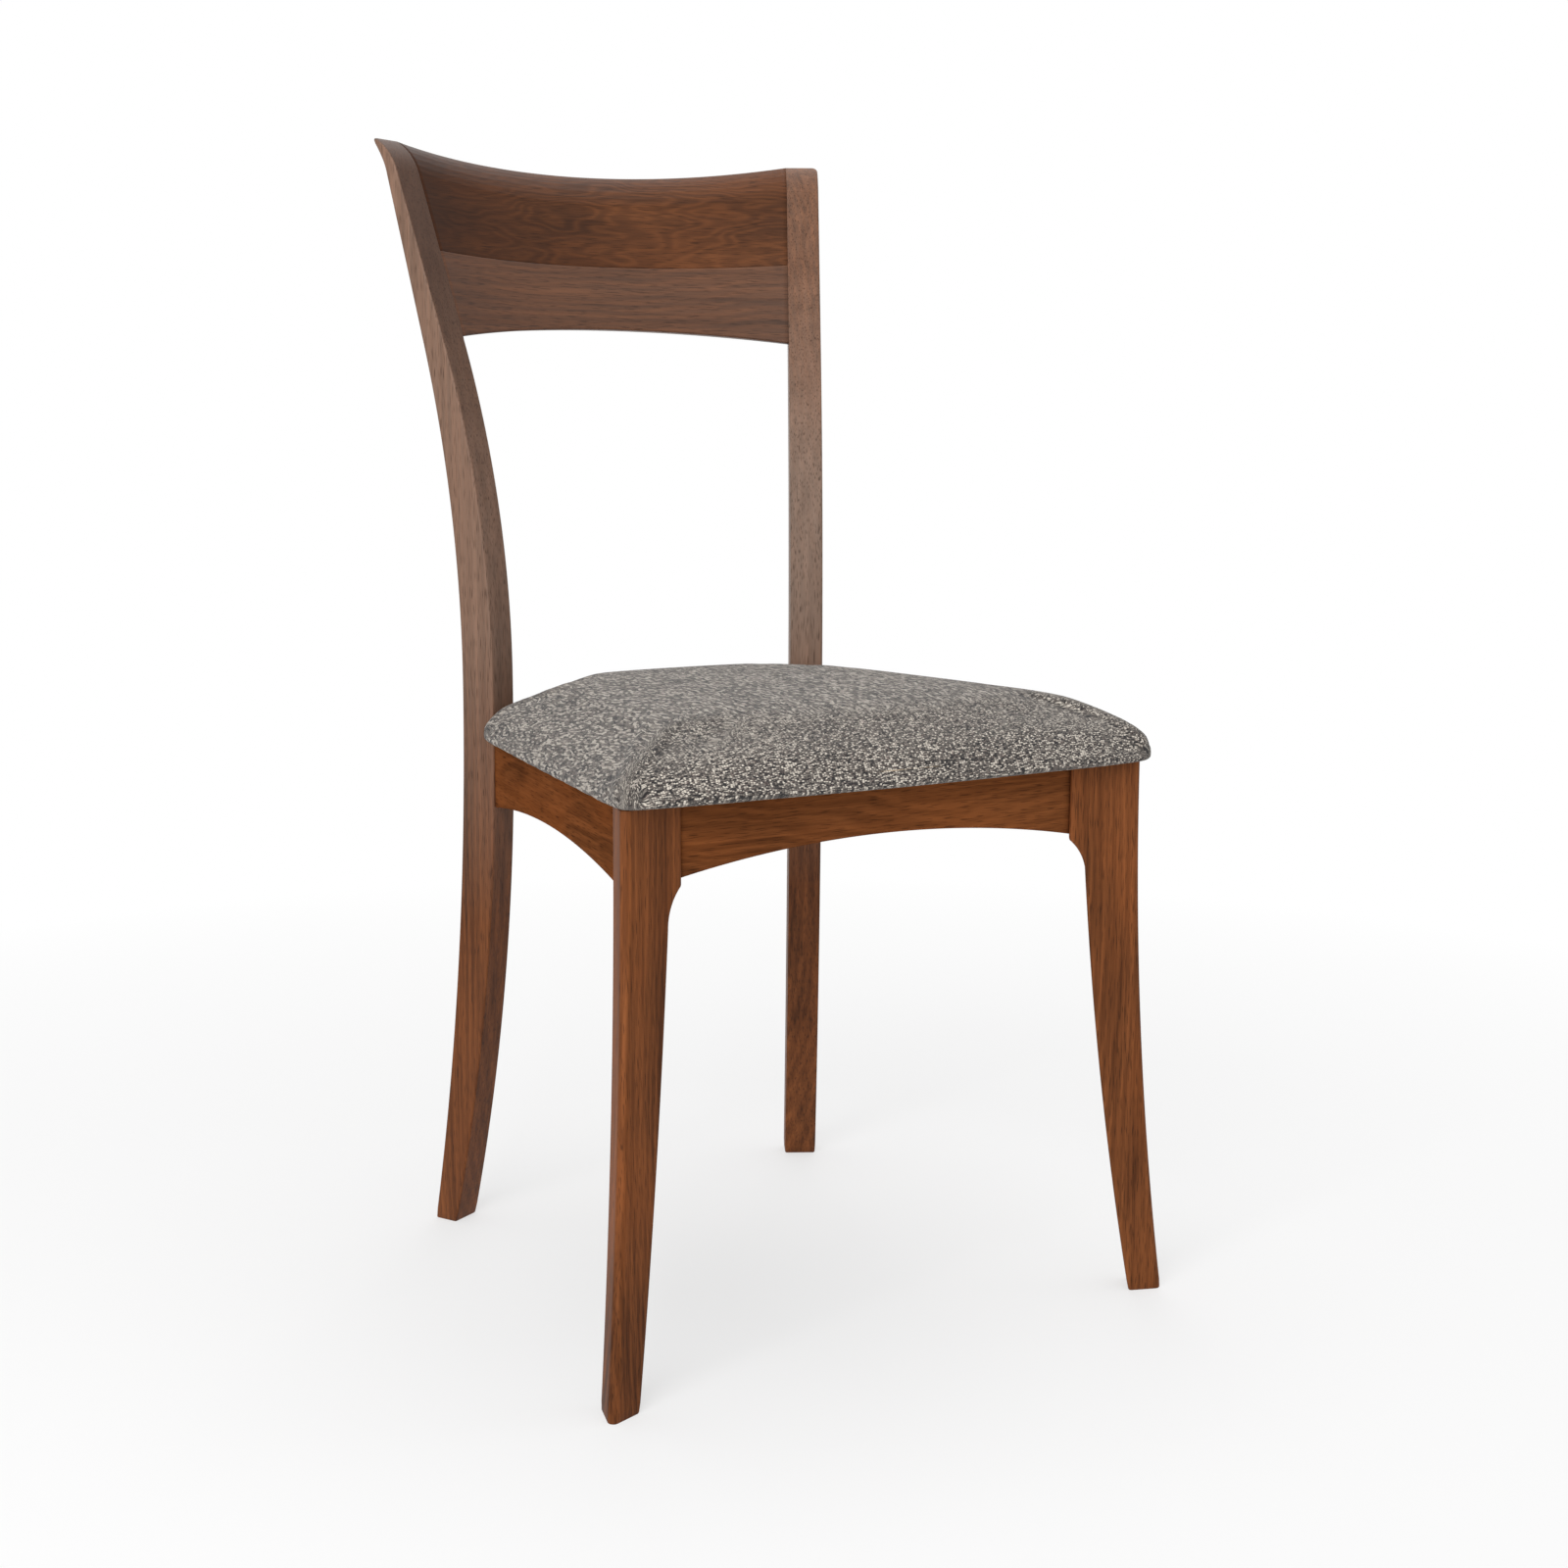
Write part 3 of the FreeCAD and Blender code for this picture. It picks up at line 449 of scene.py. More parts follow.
class Finish:
    """A material and the one method that adds nodes to it."""

    def __init__(self, name):
        self.material = bpy.data.materials.new(name)
        self.material.use_nodes = True
        self.tree = self.material.node_tree
        self.shader = self.tree.nodes["Principled BSDF"]

    def put(self, target, value):
        """Link a socket, or set its value."""
        if isinstance(value, Socket):
            self.tree.links.new(value.output, target)
        else:
            target.default_value = value

    def node(self, kind, settings, inputs, output=0):
        """Node of a type with its settings, then its sockets, in order or by name or number."""
        node = self.tree.nodes.new(kind)
        for key, value in settings.items():
            setattr(node, key, value)
        pairs = inputs.items() if isinstance(inputs, dict) else enumerate(inputs)
        for key, value in pairs:
            self.put(node.inputs[key], value)
        return Socket(self, node.outputs[output])

    def feed(self, **sockets):
        """Link or set the shader's own sockets, named with underscores for spaces."""
        for key, value in sockets.items():
            self.put(self.shader.inputs[key.replace("_", " ")], value)

    def attribute(self, name):
        """Vector kept on the mesh."""
        return self.node("ShaderNodeAttribute", {"attribute_name": name}, [], "Vector")

    def spot(self):
        """Place in the object's own frame."""
        return self.node("ShaderNodeTexCoord", {}, [], "Object")

    def stretched(self, vector, scale, shift=(0.0, 0.0, 0.0)):
        """Vector scaled along each axis, then moved."""
        return self.node("ShaderNodeMapping", {}, {"Vector": vector, "Location": shift, "Scale": scale})

    def noise(self, vector, scale, detail, rough=0.55, shift=(0.0, 0.0, 0.0)):
        """Noise with so many spots to the metre along each axis."""
        place = self.stretched(vector, scale, shift)
        return self.node("ShaderNodeTexNoise", {},
                         {"Vector": place, "Scale": 1.0, "Detail": detail, "Roughness": rough})

    def ramp(self, factor, low, high):
        """Straight step from 0 at low to 1 at high."""
        return self.node("ShaderNodeMapRange", {}, {"Value": factor, "From Min": low, "From Max": high})

    def mix(self, factor, first, second):
        """First colour where the factor is 0, second where it is 1."""
        return self.node("ShaderNodeMix", {"data_type": "RGBA"}, {0: factor, 6: first, 7: second}, 2)

    def bump(self, height, strength, distance):
        """Normal bent by a height."""
        return self.node("ShaderNodeBump", {},
                         {"Strength": strength, "Distance": distance, "Height": height})


def opaque(colour, gain=1.0):
    """Colour times a gain, with full alpha."""
    return tuple(min(channel * gain, 1.0) for channel in colour) + (1.0,)


def walnut(name, shift, figure, warmth, tone, lines=150.0, gloss=0.05, fade=0.0, shade=0.0,
           grey=0.0, top_warmth=0.0, front_shade=0.0):
    """Satin walnut that follows the piece's own grain: growth lines, fibres, pores, slow changes of tone.

    The grain attribute holds lengths along, across and into the board. shift picks a place in the
    noises, figure is how wild the grain is, lines how many growth lines lie in a metre. fade is how
    far a whole board is greyed, shade how far painted shade darkens it towards its left end, grey how
    far painted sheen greys an upright piece above the seat, top_warmth how much of that sheen is
    lost at its top, and front_shade how far painted shade darkens a post there, its outer face apart.
    """
    colours = bpy.context.scene.chair_colours
    finish = Finish(name)
    grain = finish.attribute("grain")

    def noise(along, across, detail, rough=0.55):
        """Noise along the grain, as fine across the board as into it."""
        return finish.noise(grain, (along, across, across), detail, rough, shift)

    slow = noise(2.6, 9.0, 0.0)
    wild = noise(7.0, 24.0, 2.0, 0.6)
    fibre = noise(9.0, 560.0, 1.0, 0.65)
    streak = noise(2.4, 150.0, 2.0, 0.6)
    pores = finish.ramp(noise(75.0, 1500.0, 0.0), 0.60, 0.72)
    cloud = noise(6.0, 20.0, 1.0)

    # Growth lines, bent by the slow noises and drawn narrow
    moved = finish.node("ShaderNodeSeparateXYZ", {}, [finish.stretched(grain, (1.0, 1.0, 1.0), shift)])
    bent = moved.also("Y") * lines + moved.also("Z") * (lines * 0.62) + slow * 9.0 + wild * (16.0 * figure)
    rings = ((bent * math.tau).math("SINE") * 0.5 + 0.5).math("POWER", 1.6)

    # Light and dark wood, by growth lines, streaks, fibres and clouds together
    tone_map = (rings * (0.20 + 0.15 * figure) + (streak - 0.5) * (1.2 - 0.7 * figure)
                + (fibre - 0.5) * (0.75 - 0.35 * figure)
                + (slow - 0.5) * 0.5 + (cloud - 0.5) * (0.5 + figure) + 0.42)
    dark = opaque(colours.walnut_dark, tone)
    colour = finish.mix(tone_map.clamp(), dark, opaque(colours.walnut_light, tone))
    redness = finish.ramp(wild, 0.42, 0.78) * (0.25 + 0.4 * figure + warmth)
    colour = finish.mix(redness, colour, opaque(RED_WALNUT, tone))

    # Painted sheen above the seat and a board's fade, painted shade on a post's front and at the crest's
    # left end, then the pores
    along = finish.node("ShaderNodeSeparateXYZ", {}, [grain])
    # Greyed brown for painted sheen and for a board's fade
    fade_and_sheen = finish.mix(streak, opaque(FADE_AND_SHEEN_DARK, tone), opaque(FADE_AND_SHEEN_LIGHT, tone))
    # Share of the painted sheen kept near the top of a post
    kept = 1 - finish.ramp(along, *TOP_SHEEN_LOSS) * top_warmth
    colour = finish.mix(finish.ramp(along, *SHEEN_ABOVE_SEAT) * kept * grey + fade, colour, fade_and_sheen)
    # Painted shade on a post's front faces, its outer face apart
    inner = finish.ramp(along.also("Z"), *OUTER_FACE)
    colour = finish.mix(finish.ramp(along, *TOP_SHADE) * inner * front_shade, colour, dark)
    # Painted shade towards the crest's left end
    colour = finish.mix(finish.ramp(along, *LEFT_END) * shade, colour, dark)
    colour = finish.mix(pores * 0.55, colour, opaque(PORE))
    finish.feed(Base_Color=colour, Roughness=fibre * 0.16 + 0.38, Normal=finish.bump(fibre, 0.16, 0.0004),
                Coat_Weight=gloss * 0.2, Coat_Roughness=0.30, Specular_IOR_Level=gloss)
    return finish.material


def plain_wood(name, light, dark, scale):
    """Unfinished hidden wood: streaks along X of the object, a little rough."""
    finish = Finish(name)
    spot = finish.spot()
    streak = finish.noise(spot, scale, 4.0, 0.6)
    fine = finish.noise(spot, tuple(5 * part for part in scale), 2.0)
    colour = finish.mix((streak * 1.4 - 0.2 + (fine - 0.5) * 0.4).clamp(), opaque(dark), opaque(light))
    finish.feed(Base_Color=colour, Roughness=fine * 0.2 + 0.55, Normal=finish.bump(fine, 0.2, 0.0003))
    return finish.material


def screw_steel():
    """Zinc-plated steel with faint turning marks."""
    finish = Finish("screw_zinc")
    mark = finish.noise(finish.spot(), (900.0, 900.0, 2500.0), 2.0)
    colour = finish.mix(mark, opaque((0.36, 0.36, 0.35)), opaque((0.60, 0.60, 0.58)))
    finish.feed(Base_Color=colour, Metallic=1.0, Roughness=mark * 0.25 + 0.28)
    return finish.material


def tweed():
    """Nubby tweed in rows: each slub is a cell of a stretched Voronoi with a yarn colour, and painted shade
    in the gap round it.

    The weave attribute holds lengths along and across the rows, and how far a spot is off the front
    face. Away from the front a second, longer set of slubs is laid over the first.
    """
    colours = bpy.context.scene.chair_colours
    finish = Finish("seat_tweed")
    spot = finish.attribute("weave")
    sway = (finish.noise(spot, (90.0, 90.0, 90.0), 0.0) - 0.5) * 0.0016
    shift = finish.node("ShaderNodeCombineXYZ", {}, [sway, sway, 0.0])
    woven = finish.node("ShaderNodeVectorMath", {"operation": "ADD"}, [spot, shift])
    fuzz = finish.noise(woven, (1300.0, 2000.0, 0.0), 1.0, 0.7) - 0.5
    cloud = finish.noise(spot, (22.0, 22.0, 22.0), 1.0) - 0.5

    def slubs(size, randomness, mottle):
        """Distance from each slub's middle, and the colour of its yarn."""
        cells = finish.stretched(woven, (1 / size[0], 1 / size[1], 0.0))
        away = finish.node("ShaderNodeTexVoronoi", {"voronoi_dimensions": "2D"},
                           {"Vector": cells, "Scale": 1.0, "Randomness": randomness})
        drawn = finish.node("ShaderNodeSeparateColor", {}, [away.also("Color")])
        level = drawn + fuzz * mottle + cloud * 0.25
        yarn = opaque(colours.tweed_dark)
        yarn = finish.mix(finish.ramp(level, 0.16, 0.40), yarn, opaque(colours.tweed_mid))
        yarn = finish.mix(finish.ramp(level, 0.64, 0.82), yarn, opaque(colours.tweed_light))
        brown = finish.ramp(drawn.also("Green"), 0.80, 0.92) * 0.5
        return away, finish.mix(brown, yarn, opaque(BROWN_YARN))

    away, colour = slubs(SLUB, 0.7, 0.5)
    # Painted shade in the gaps between slubs
    colour = finish.mix(finish.ramp(away, 0.28, 0.62) * 0.82, colour, opaque(PAINTED_GAP_SHADE))
    # Longer slubs, evenly darkened by painted shade of the gaps
    long_colour = finish.mix(0.40, slubs(LONG_SLUB, 0.9, 0.2)[1], opaque(PAINTED_GAP_SHADE))
    off_front = finish.node("ShaderNodeSeparateXYZ", {}, [spot], "Z")
    colour = finish.mix(off_front * 0.85, colour, long_colour)
    finish.feed(Base_Color=colour, Roughness=0.88, Normal=finish.bump(1 - away, 0.55, 0.0012),
                Specular_IOR_Level=0.22, Sheen_Weight=0.12, Sheen_Roughness=0.5)
    return finish.material


def dust_cloth():
    """Thin black cloth with a fine weave."""
    finish = Finish("dust_cloth_black")
    weave = finish.noise(finish.spot(), (900.0, 900.0, 900.0), 2.0)
    colour = finish.mix(weave, opaque((0.010, 0.010, 0.011)), opaque((0.036, 0.036, 0.038)))
    finish.feed(Base_Color=colour, Roughness=0.9, Normal=finish.bump(weave, 0.3, 0.0004))
    return finish.material


def post_rings(ease):
    """Rear post: level slices between the front and rear of the back, as thick as the plank.

    The inner face stands in a plane through the back's axis; the plank's width goes outward from it.
    """
    z = stations(CREST_TIP, 120, np.linspace(CREST_TIP - CREST_ROLL, CREST_TIP - 2.0, 14))
    front = roll_front(z, CREST_TIP)
    rear = kick_rear(z, CREST_TIP)
    outer = POST_WIDTH - arc_away(np.maximum(z - CREST_TIP + TOP_ROUND, 0.0), TOP_ROUND, TOP_ROUND)
    corners = outlines((front, 0.0), (rear, 0.0), (rear, outer), (front, outer))
    radius = np.minimum(ease, (rear - front) * 0.42)
    fine = np.where(z > CREST_LOW, 0.25, 1.0) * radius
    loops = eased_foot(rounded_loops(corners, np.stack([fine, fine, radius, radius], 1)), z)
    radial = loops[..., 0]
    side = loops[..., 1]
    x = radial * math.sin(HALF_ANGLE) + side * math.cos(HALF_ANGLE)
    y = AXIS_Y + radial * math.cos(HALF_ANGLE) - side * math.sin(HALF_ANGLE)
    height = np.broadcast_to(z[:, None], x.shape)
    return np.stack([x, y, height], 2), np.stack([height, radial, side], 2)


def crest_rings(section):
    """Crest board: one closed section per angle, turned round the back's axis from post to post."""
    angle = np.linspace(-HALF_ANGLE, HALF_ANGLE, 81)
    loops = section(1 - (angle / HALF_ANGLE) ** 2)
    radial = loops[..., 0]
    height = loops[..., 1]
    turn = np.broadcast_to(angle[:, None], radial.shape)
    x = radial * np.sin(turn)
    y = AXIS_Y + radial * np.cos(turn)
    grain = np.stack([turn * CREST_GRAIN_RADIUS, height, radial - back_front(height)], 2)
    return np.stack([x, y, height], 2), grain


def glue_line(bow):
    """Height of the joint between the crest boards, which rises towards its ends."""
    return GLUE_LINE + SEAM_BOW * (1 - bow)


def lower_board(bow):
    """Section of the lower board: arched lower edge up to the glue line."""
    low = CREST_LOW + CREST_ARCH * bow
    joint = glue_line(bow)
    corners = outlines((back_front(low), low), (back_rear(low), low),
                       (back_rear(joint), joint), (back_front(joint), joint))
    return rounded_loops(corners, np.array([[CREST_EASE, CREST_EASE, SEAM_EASE, SEAM_EASE]]))


def upper_board(bow):
    """Section of the upper board: glue line up to the top edge, which rolls back and dips in the middle."""
    joint = glue_line(bow)
    tip = CREST_TIP - CREST_DIP * bow
    places = [(back_front(joint), joint), (back_rear(joint), joint)]
    for share in (0.0, 0.33, 0.66, 1.0):
        z = tip - CREST_ROLL * (1 - share)
        places.append((kick_rear(z, tip), z))
    for share in (1.0, 0.94, 0.84, 0.7, 0.5, 0.28, 0.08):
        z = tip - CREST_ROLL * (1 - share)
        places.append((roll_front(z, tip), z))
    radii = [SEAM_EASE, SEAM_EASE, 6.0, 6.0, 6.0, 0.9, 0.9, 4.0, 5.0, 5.0, 6.0, 6.0, 6.0]
    return rounded_loops(outlines(*places), np.array([radii]))


def leg_taper(z):
    """Inner edge of a front leg from its outer corner, without the cove."""
    share = z / RAIL_TOP
    return LEG_SWEEP * (1 - share) ** 2 - LEG_WIDTH_FOOT - (LEG_WIDTH_TOP - LEG_WIDTH_FOOT) * share


def leg_inner(z):
    """Inner edge of a front leg: taper, then a cove under the apron, then the joint face."""
    rise = RAIL_LOW - LEG_COVE_LOW
    run = LEG_EAR + leg_taper(LEG_COVE_LOW)
    cove = arc_away(np.clip(z - LEG_COVE_LOW, 0.0, rise), rise, run)
    return leg_taper(np.minimum(z, LEG_COVE_LOW)) - cove


def leg_rings(ease, corner_round):
    """Front leg: level slices between its flared front and outer faces, inner edge and rear face."""
    z = stations(RAIL_TOP, 70, np.linspace(LEG_COVE_LOW - 6, RAIL_LOW + 1.0, 26))
    sine_f, cosine_f = math.sin(LEG_FRONT_ANGLE), math.cos(LEG_FRONT_ANGLE)
    sine_s, cosine_s = math.sin(LEG_SIDE_ANGLE), math.cos(LEG_SIDE_ANGLE)
    front = arc_away(RAIL_TOP - z, RAIL_TOP, LEG_SWEEP * sine_f)
    outer = arc_away(RAIL_TOP - z, RAIL_TOP, LEG_SWEEP * sine_s)
    spread = sine_f * cosine_s + cosine_f * sine_s
    corner_x = (front * cosine_s + outer * cosine_f) / spread
    corner_y = (outer * sine_f - front * sine_s) / spread
    inner = leg_inner(z)
    front_y = (inner * sine_f - front) / cosine_f
    rear_x = (outer - LEG_SIDE_DEPTH * cosine_s) / sine_s
    corners = outlines((corner_x, corner_y), (rear_x, LEG_SIDE_DEPTH),
                       (inner, LEG_SIDE_DEPTH), (inner, front_y))
    loops = rounded_loops(corners, np.array([[corner_round, ease, ease, ease * 1.3]]), steps=6)
    loops = eased_foot(loops, z)
    x = LEG_CORNER[0] + loops[..., 0] * math.cos(LEG_TURN) + loops[..., 1] * math.sin(LEG_TURN)
    y = LEG_CORNER[1] - loops[..., 0] * math.sin(LEG_TURN) + loops[..., 1] * math.cos(LEG_TURN)
    height = np.broadcast_to(z[:, None], x.shape)
    return np.stack([x, y, height], 2), np.stack([height, loops[..., 0], loops[..., 1]], 2)


def arch(place, half, rise):
    """Lower edge of an apron: a circle through its ends that rises in the middle."""
    radius = (half * half + rise * rise) / (2 * rise)
    return RAIL_LOW + np.sqrt(radius * radius - place * place) - radius + rise


def apron_rings(start, end, middle, half, rise, ease):
    """Apron: sections from one end to the other, each end cut slanting to what it meets.

    start and end give the place along the board for a depth into it; the lower edge is an arch.
    Returns places along, depths and heights.
    """
    share = np.linspace(0.0, 1.0, 61)
    depths = np.array([0.0, APRON_THICKNESS])
    along = start(depths)[None] + (end(depths) - start(depths))[None] * share[:, None]
    low = arch(np.clip(along - middle, -half, half), half, rise)
    top = np.full(len(share), RAIL_TOP - APRON_TOP_GAP)
    corners = outlines((0.0, low[:, 0]), (APRON_THICKNESS, low[:, 1]), (APRON_THICKNESS, top), (0.0, top))
    loops = rounded_loops(corners, np.array([[ease, ease, APRON_TOP_EASE, APRON_TOP_EASE]]))
    depth = loops[..., 0]
    first = start(depth)
    place = first + (end(depth) - first) * share[:, None]
    return place, depth, loops[..., 1]


def front_joint(y):
    """X of the right leg's joint face at this Y."""
    ear_x = LEG_CORNER[0] - LEG_EAR * math.cos(LEG_TURN)
    ear_y = LEG_CORNER[1] + LEG_EAR * math.sin(LEG_TURN)
    return ear_x + (y - ear_y) * math.tan(LEG_TURN)


def rear_joint(y):
    """X of the right post's inner face at this Y."""
    return (y - AXIS_Y) * math.tan(HALF_ANGLE)


def cross_apron(face_y, joint, rise, ease):
    """Front or rear apron, straight across the chair."""
    half = joint(face_y + APRON_THICKNESS) + CROSS_ARCH_PAST
    x, depth, z = apron_rings(lambda d: -joint(face_y + d), lambda d: joint(face_y + d), 0.0,
                              half, rise, ease)
    return np.stack([x, face_y + depth, z], 2), np.stack([x, z, depth], 2)


def side_apron(ease):
    """Right side apron, from the post's turned front face to the leg's rear face."""
    sine, cosine = math.sin(SIDE_TURN), math.cos(SIDE_TURN)
    from_leg = ((SIDE_REAR_X - LEG_CORNER[0]) * math.sin(LEG_TURN)
                + (SIDE_REAR_Y - LEG_CORNER[1]) * math.cos(LEG_TURN))
    reach = (from_leg - LEG_SIDE_DEPTH) / math.cos(SIDE_TURN + LEG_TURN)
    into_post = APRON_THICKNESS * math.tan(HALF_ANGLE + SIDE_TURN) + SIDE_ARCH_PAST
    half = (reach + SIDE_ARCH_PAST + into_post) / 2
    along, depth, z = apron_rings(lambda d: -d * math.tan(HALF_ANGLE + SIDE_TURN),
                                  lambda d: reach - d * math.tan(LEG_TURN + SIDE_TURN),
                                  half - into_post, half, SIDE_RISE, ease)
    x = SIDE_REAR_X + along * sine - depth * cosine
    y = SIDE_REAR_Y - along * cosine - depth * sine
    return np.stack([x, y, z], 2), np.stack([along, z, depth], 2)


def side_line(y, out):
    """X of the side aprons' outer face at this Y, moved out level by a length."""
    return SIDE_REAR_X + out + (SIDE_REAR_Y - y) * math.tan(SIDE_TURN)


def pad_plan(overhang, notched=True):
    """Plan of the seat pad: bowed front, sides drawn in to the back, notches round the posts.

    Without its notches the sides run on to the rear edge. Points follow the edge at even steps.
    """
    out = overhang / math.cos(SIDE_TURN)
    corner_y = PAD_FRONT_Y + PAD_BOW
    corner_x = side_line(corner_y, out)
    bow_share = np.linspace(0.0, 0.86, 6)
    bow_y = PAD_FRONT_Y + PAD_BOW * bow_share ** 2
    right = [*zip(bow_share * corner_x, bow_y), (corner_x, corner_y + PAD_CORNER_DROP),
             (side_line(PAD_BELLY_Y, out) + PAD_BELLY, PAD_BELLY_Y)]
    radii = [900.0] * len(bow_share) + [19.0, 900.0]
    if notched:
        outward = np.array([math.sin(HALF_ANGLE), math.cos(HALF_ANGLE)])
        across = np.array([math.cos(HALF_ANGLE), -math.sin(HALF_ANGLE)])
        inner = np.array([0.0, AXIS_Y]) + outward * (BACK_RADIUS + PAD_PRESS) + across * PAD_PRESS
        reach = (side_line(inner[1], out) - inner[0]) / (across[0] + across[1] * math.tan(SIDE_TURN))
        rear_x = inner[0] + (PAD_REAR_Y - inner[1]) * math.tan(HALF_ANGLE)
        right += [tuple(inner + across * reach), tuple(inner), (rear_x, PAD_REAR_Y)]
        radii += [22.0, 6.0, 8.0]
    else:
        right += [(side_line(PAD_REAR_Y, out), PAD_REAR_Y)]
        radii += [80.0]
    points = np.array(right + [(-x, y) for x, y in right[:0:-1]])
    plan = rounded_loops(points[None], np.array([radii + radii[:0:-1]]), steps=7, support=3.0)[0]
    closed = np.vstack([plan, plan[:1]])
    walk = np.concatenate([[0.0], np.cumsum(np.linalg.norm(np.diff(closed, axis=0), axis=1))])
    even = np.linspace(0.0, walk[-1], PAD_POINTS + 1)[:-1]
    return np.stack([np.interp(even, walk, closed[:, 0]), np.interp(even, walk, closed[:, 1])], 1)


def pad_rings(overhang, crown):
    """Seat pad: its plan drawn in ring by ring, as high as the distance from the edge gives.

    The distance is a smooth one, the inverse square root of the summed inverse cubes of the distances
    to the edge's points, so that no ridge runs in from the corners. It is measured from the edge without
    its notches, and the pad rises steeply in the notches. The rings near the rear are relaxed,
    and the underside is flat.
    """
    plan = pad_plan(overhang)
    whole = pad_plan(overhang, notched=False)
    step = np.linalg.norm(np.roll(whole, -1, 0) - whole, axis=1)[None, None]
    share = np.concatenate([0.12 * np.linspace(0.0, 1.0, 16) ** 1.6, np.linspace(0.14, 0.97, 26)])
    flat = drawn_to(PAD_MIDDLE, plan, share)
    away = np.maximum(np.linalg.norm(flat[:, :, None] - whole[None, None], axis=3), 0.01)
    smooth = (0.5 * (step * away ** -3).sum(axis=2)) ** -0.5
    from_notch = np.linalg.norm(flat[:, :, None] - plan[None, None], axis=3).min(axis=2)
    near = np.minimum(away.min(axis=2), smooth)
    steep = NOTCH_RISE * np.maximum(from_notch, 0.01)
    over = at_heights(flat, pad_height((near ** -3 + steep ** -3) ** (-1 / 3), crown))
    relaxed = over
    for _ in range(RELAX_ROUNDS):
        relaxed = (np.roll(relaxed, 1, axis=1) + 2 * relaxed + np.roll(relaxed, -1, axis=1)) / 4
    rear = np.clip((plan[:, 1] + 10.0) / 60.0, 0.0, 1.0)[None, :, None]
    inside = np.clip((share - 0.02) / 0.12, 0.0, 1.0)[:, None, None]
    over = over + (relaxed - over) * rear * inside
    under = drawn_to(PAD_MIDDLE, plan, np.array([0.97, 0.6, 0.3, 0.12, 0.03, 0.012, 0.004]))
    under_z = RAIL_TOP + np.array([0.3, 0.3, 0.3, 0.3, 0.5, 2.0, 5.0])
    return np.concatenate([at_heights(under, under_z[:, None]), over], axis=0)


def pad_height(gap, crown):
    """Height of the pad at a distance from its edge: a rounded shoulder, then a slow crown."""
    rise = (crown * PAD_SHOULDER - PAD_EDGE) * (1 - np.exp(-gap / 18.0)) ** 0.66
    dome = crown * (1 - PAD_SHOULDER) * (1 - np.exp(-(gap / 70.0) ** 1.5))
    return RAIL_TOP + PAD_EDGE + rise + dome


def dust_rings():
    """Cloth under the seat: its plan drawn in to the middle, over and back under, sagging there most.

    Returns the rings, and the size and area of the plan.
    """
    front_x = side_line(DUST_FRONT_Y, -DUST_INSET)
    side_x = side_line(DUST_SIDE_Y, -DUST_INSET)
    rear_x = side_x - (DUST_REAR_Y - DUST_SIDE_Y) / math.tan(HALF_ANGLE)
    right = [(front_x, DUST_FRONT_Y), (side_x, DUST_SIDE_Y), (rear_x, DUST_REAR_Y)]
    corners = np.array(right + [(-x, y) for x, y in right[::-1]])
    plan = rounded_loops(corners[None], DUST_CORNER, steps=8)[0]
    out = np.linspace(0.04, 1.0, 24)
    share = np.concatenate([out, out[::-1]])
    lift = np.where(np.arange(len(share)) < len(out), DUST_THICKNESS, 0.0)
    height = RAIL_TOP + DUST_GAP - DUST_SAG * (1 - share ** 2) ** 2 + lift
    rings = at_heights(drawn_to(DUST_MIDDLE, plan, 1 - share), height[:, None])
    size = plan.max(axis=0) - plan.min(axis=0)
    after = np.roll(plan, -1, axis=0)
    area = abs(np.sum(plan[:, 0] * after[:, 1] - plan[:, 1] * after[:, 0])) / 2
    return rings, size, area


def swell(piece):
    """Stuff the pad: even remesh, then cloth under pressure with its underside held, capped and applied."""
    scene = bpy.context.scene
    remesh = piece.modifiers.new("even", "REMESH")
    remesh.mode = "VOXEL"
    remesh.voxel_size = PAD_VOXEL
    apply_modifier(piece, remesh)
    start = read_vectors(piece.data, "co")
    held = piece.vertex_groups.new(name="held")
    held.add(np.flatnonzero(start[:, 2] < HELD_BELOW).tolist(), 1.0, "REPLACE")
    cloth = piece.modifiers.new("stuffing", "CLOTH")
    cloth.settings.vertex_group_mass = "held"
    cloth.settings.use_pressure = True
    cloth.settings.uniform_pressure_force = PRESSURE
    cloth.settings.effector_weights.gravity = 0.0
    cloth.settings.tension_stiffness = STIFFNESS
    cloth.settings.compression_stiffness = STIFFNESS
    cloth.settings.quality = 6
    cloth.point_cache.frame_start = 1
    cloth.point_cache.frame_end = SWELL_FRAMES
    for number in range(1, SWELL_FRAMES + 1):
        scene.frame_set(number)
    apply_modifier(piece, cloth)
    scene.frame_set(1)
    move = read_vectors(piece.data, "co") - start
    length = np.linalg.norm(move, axis=1, keepdims=True)
    moved = start + move * np.minimum(1.0, SWELL_CAP / np.maximum(length, 1e-9))
    piece.data.vertices.foreach_set("co", moved.ravel())
    piece.data.update()
    shade_smooth(piece.data)


def lay_weave(piece):
    """Store where the cloth's rows lie: along is x and across is y, each running on down the pad's sides.

    The fall from the crown is added to x on the left and right and to y at the front and rear, by the
    share of each in the level part of the normal. The third value is 0 on the front face and 1 off it.
    """
    place = read_vectors(piece.data, "co")
    normal = read_vectors(piece.data, "normal")
    fall = place[:, 2].max() - place[:, 2]
    level = normal[:, :2] * np.abs(normal[:, :2]) / ((normal[:, :2] ** 2).sum(axis=1) + 1e-4)[:, None]
    laid = place[:, :2] + level * fall[:, None]
    off_front = 1 - np.clip((-normal[:, 1] - 0.05) / 0.65, 0.0, 1.0)
    store_vectors(piece.data, "weave", np.column_stack([laid, off_front]))


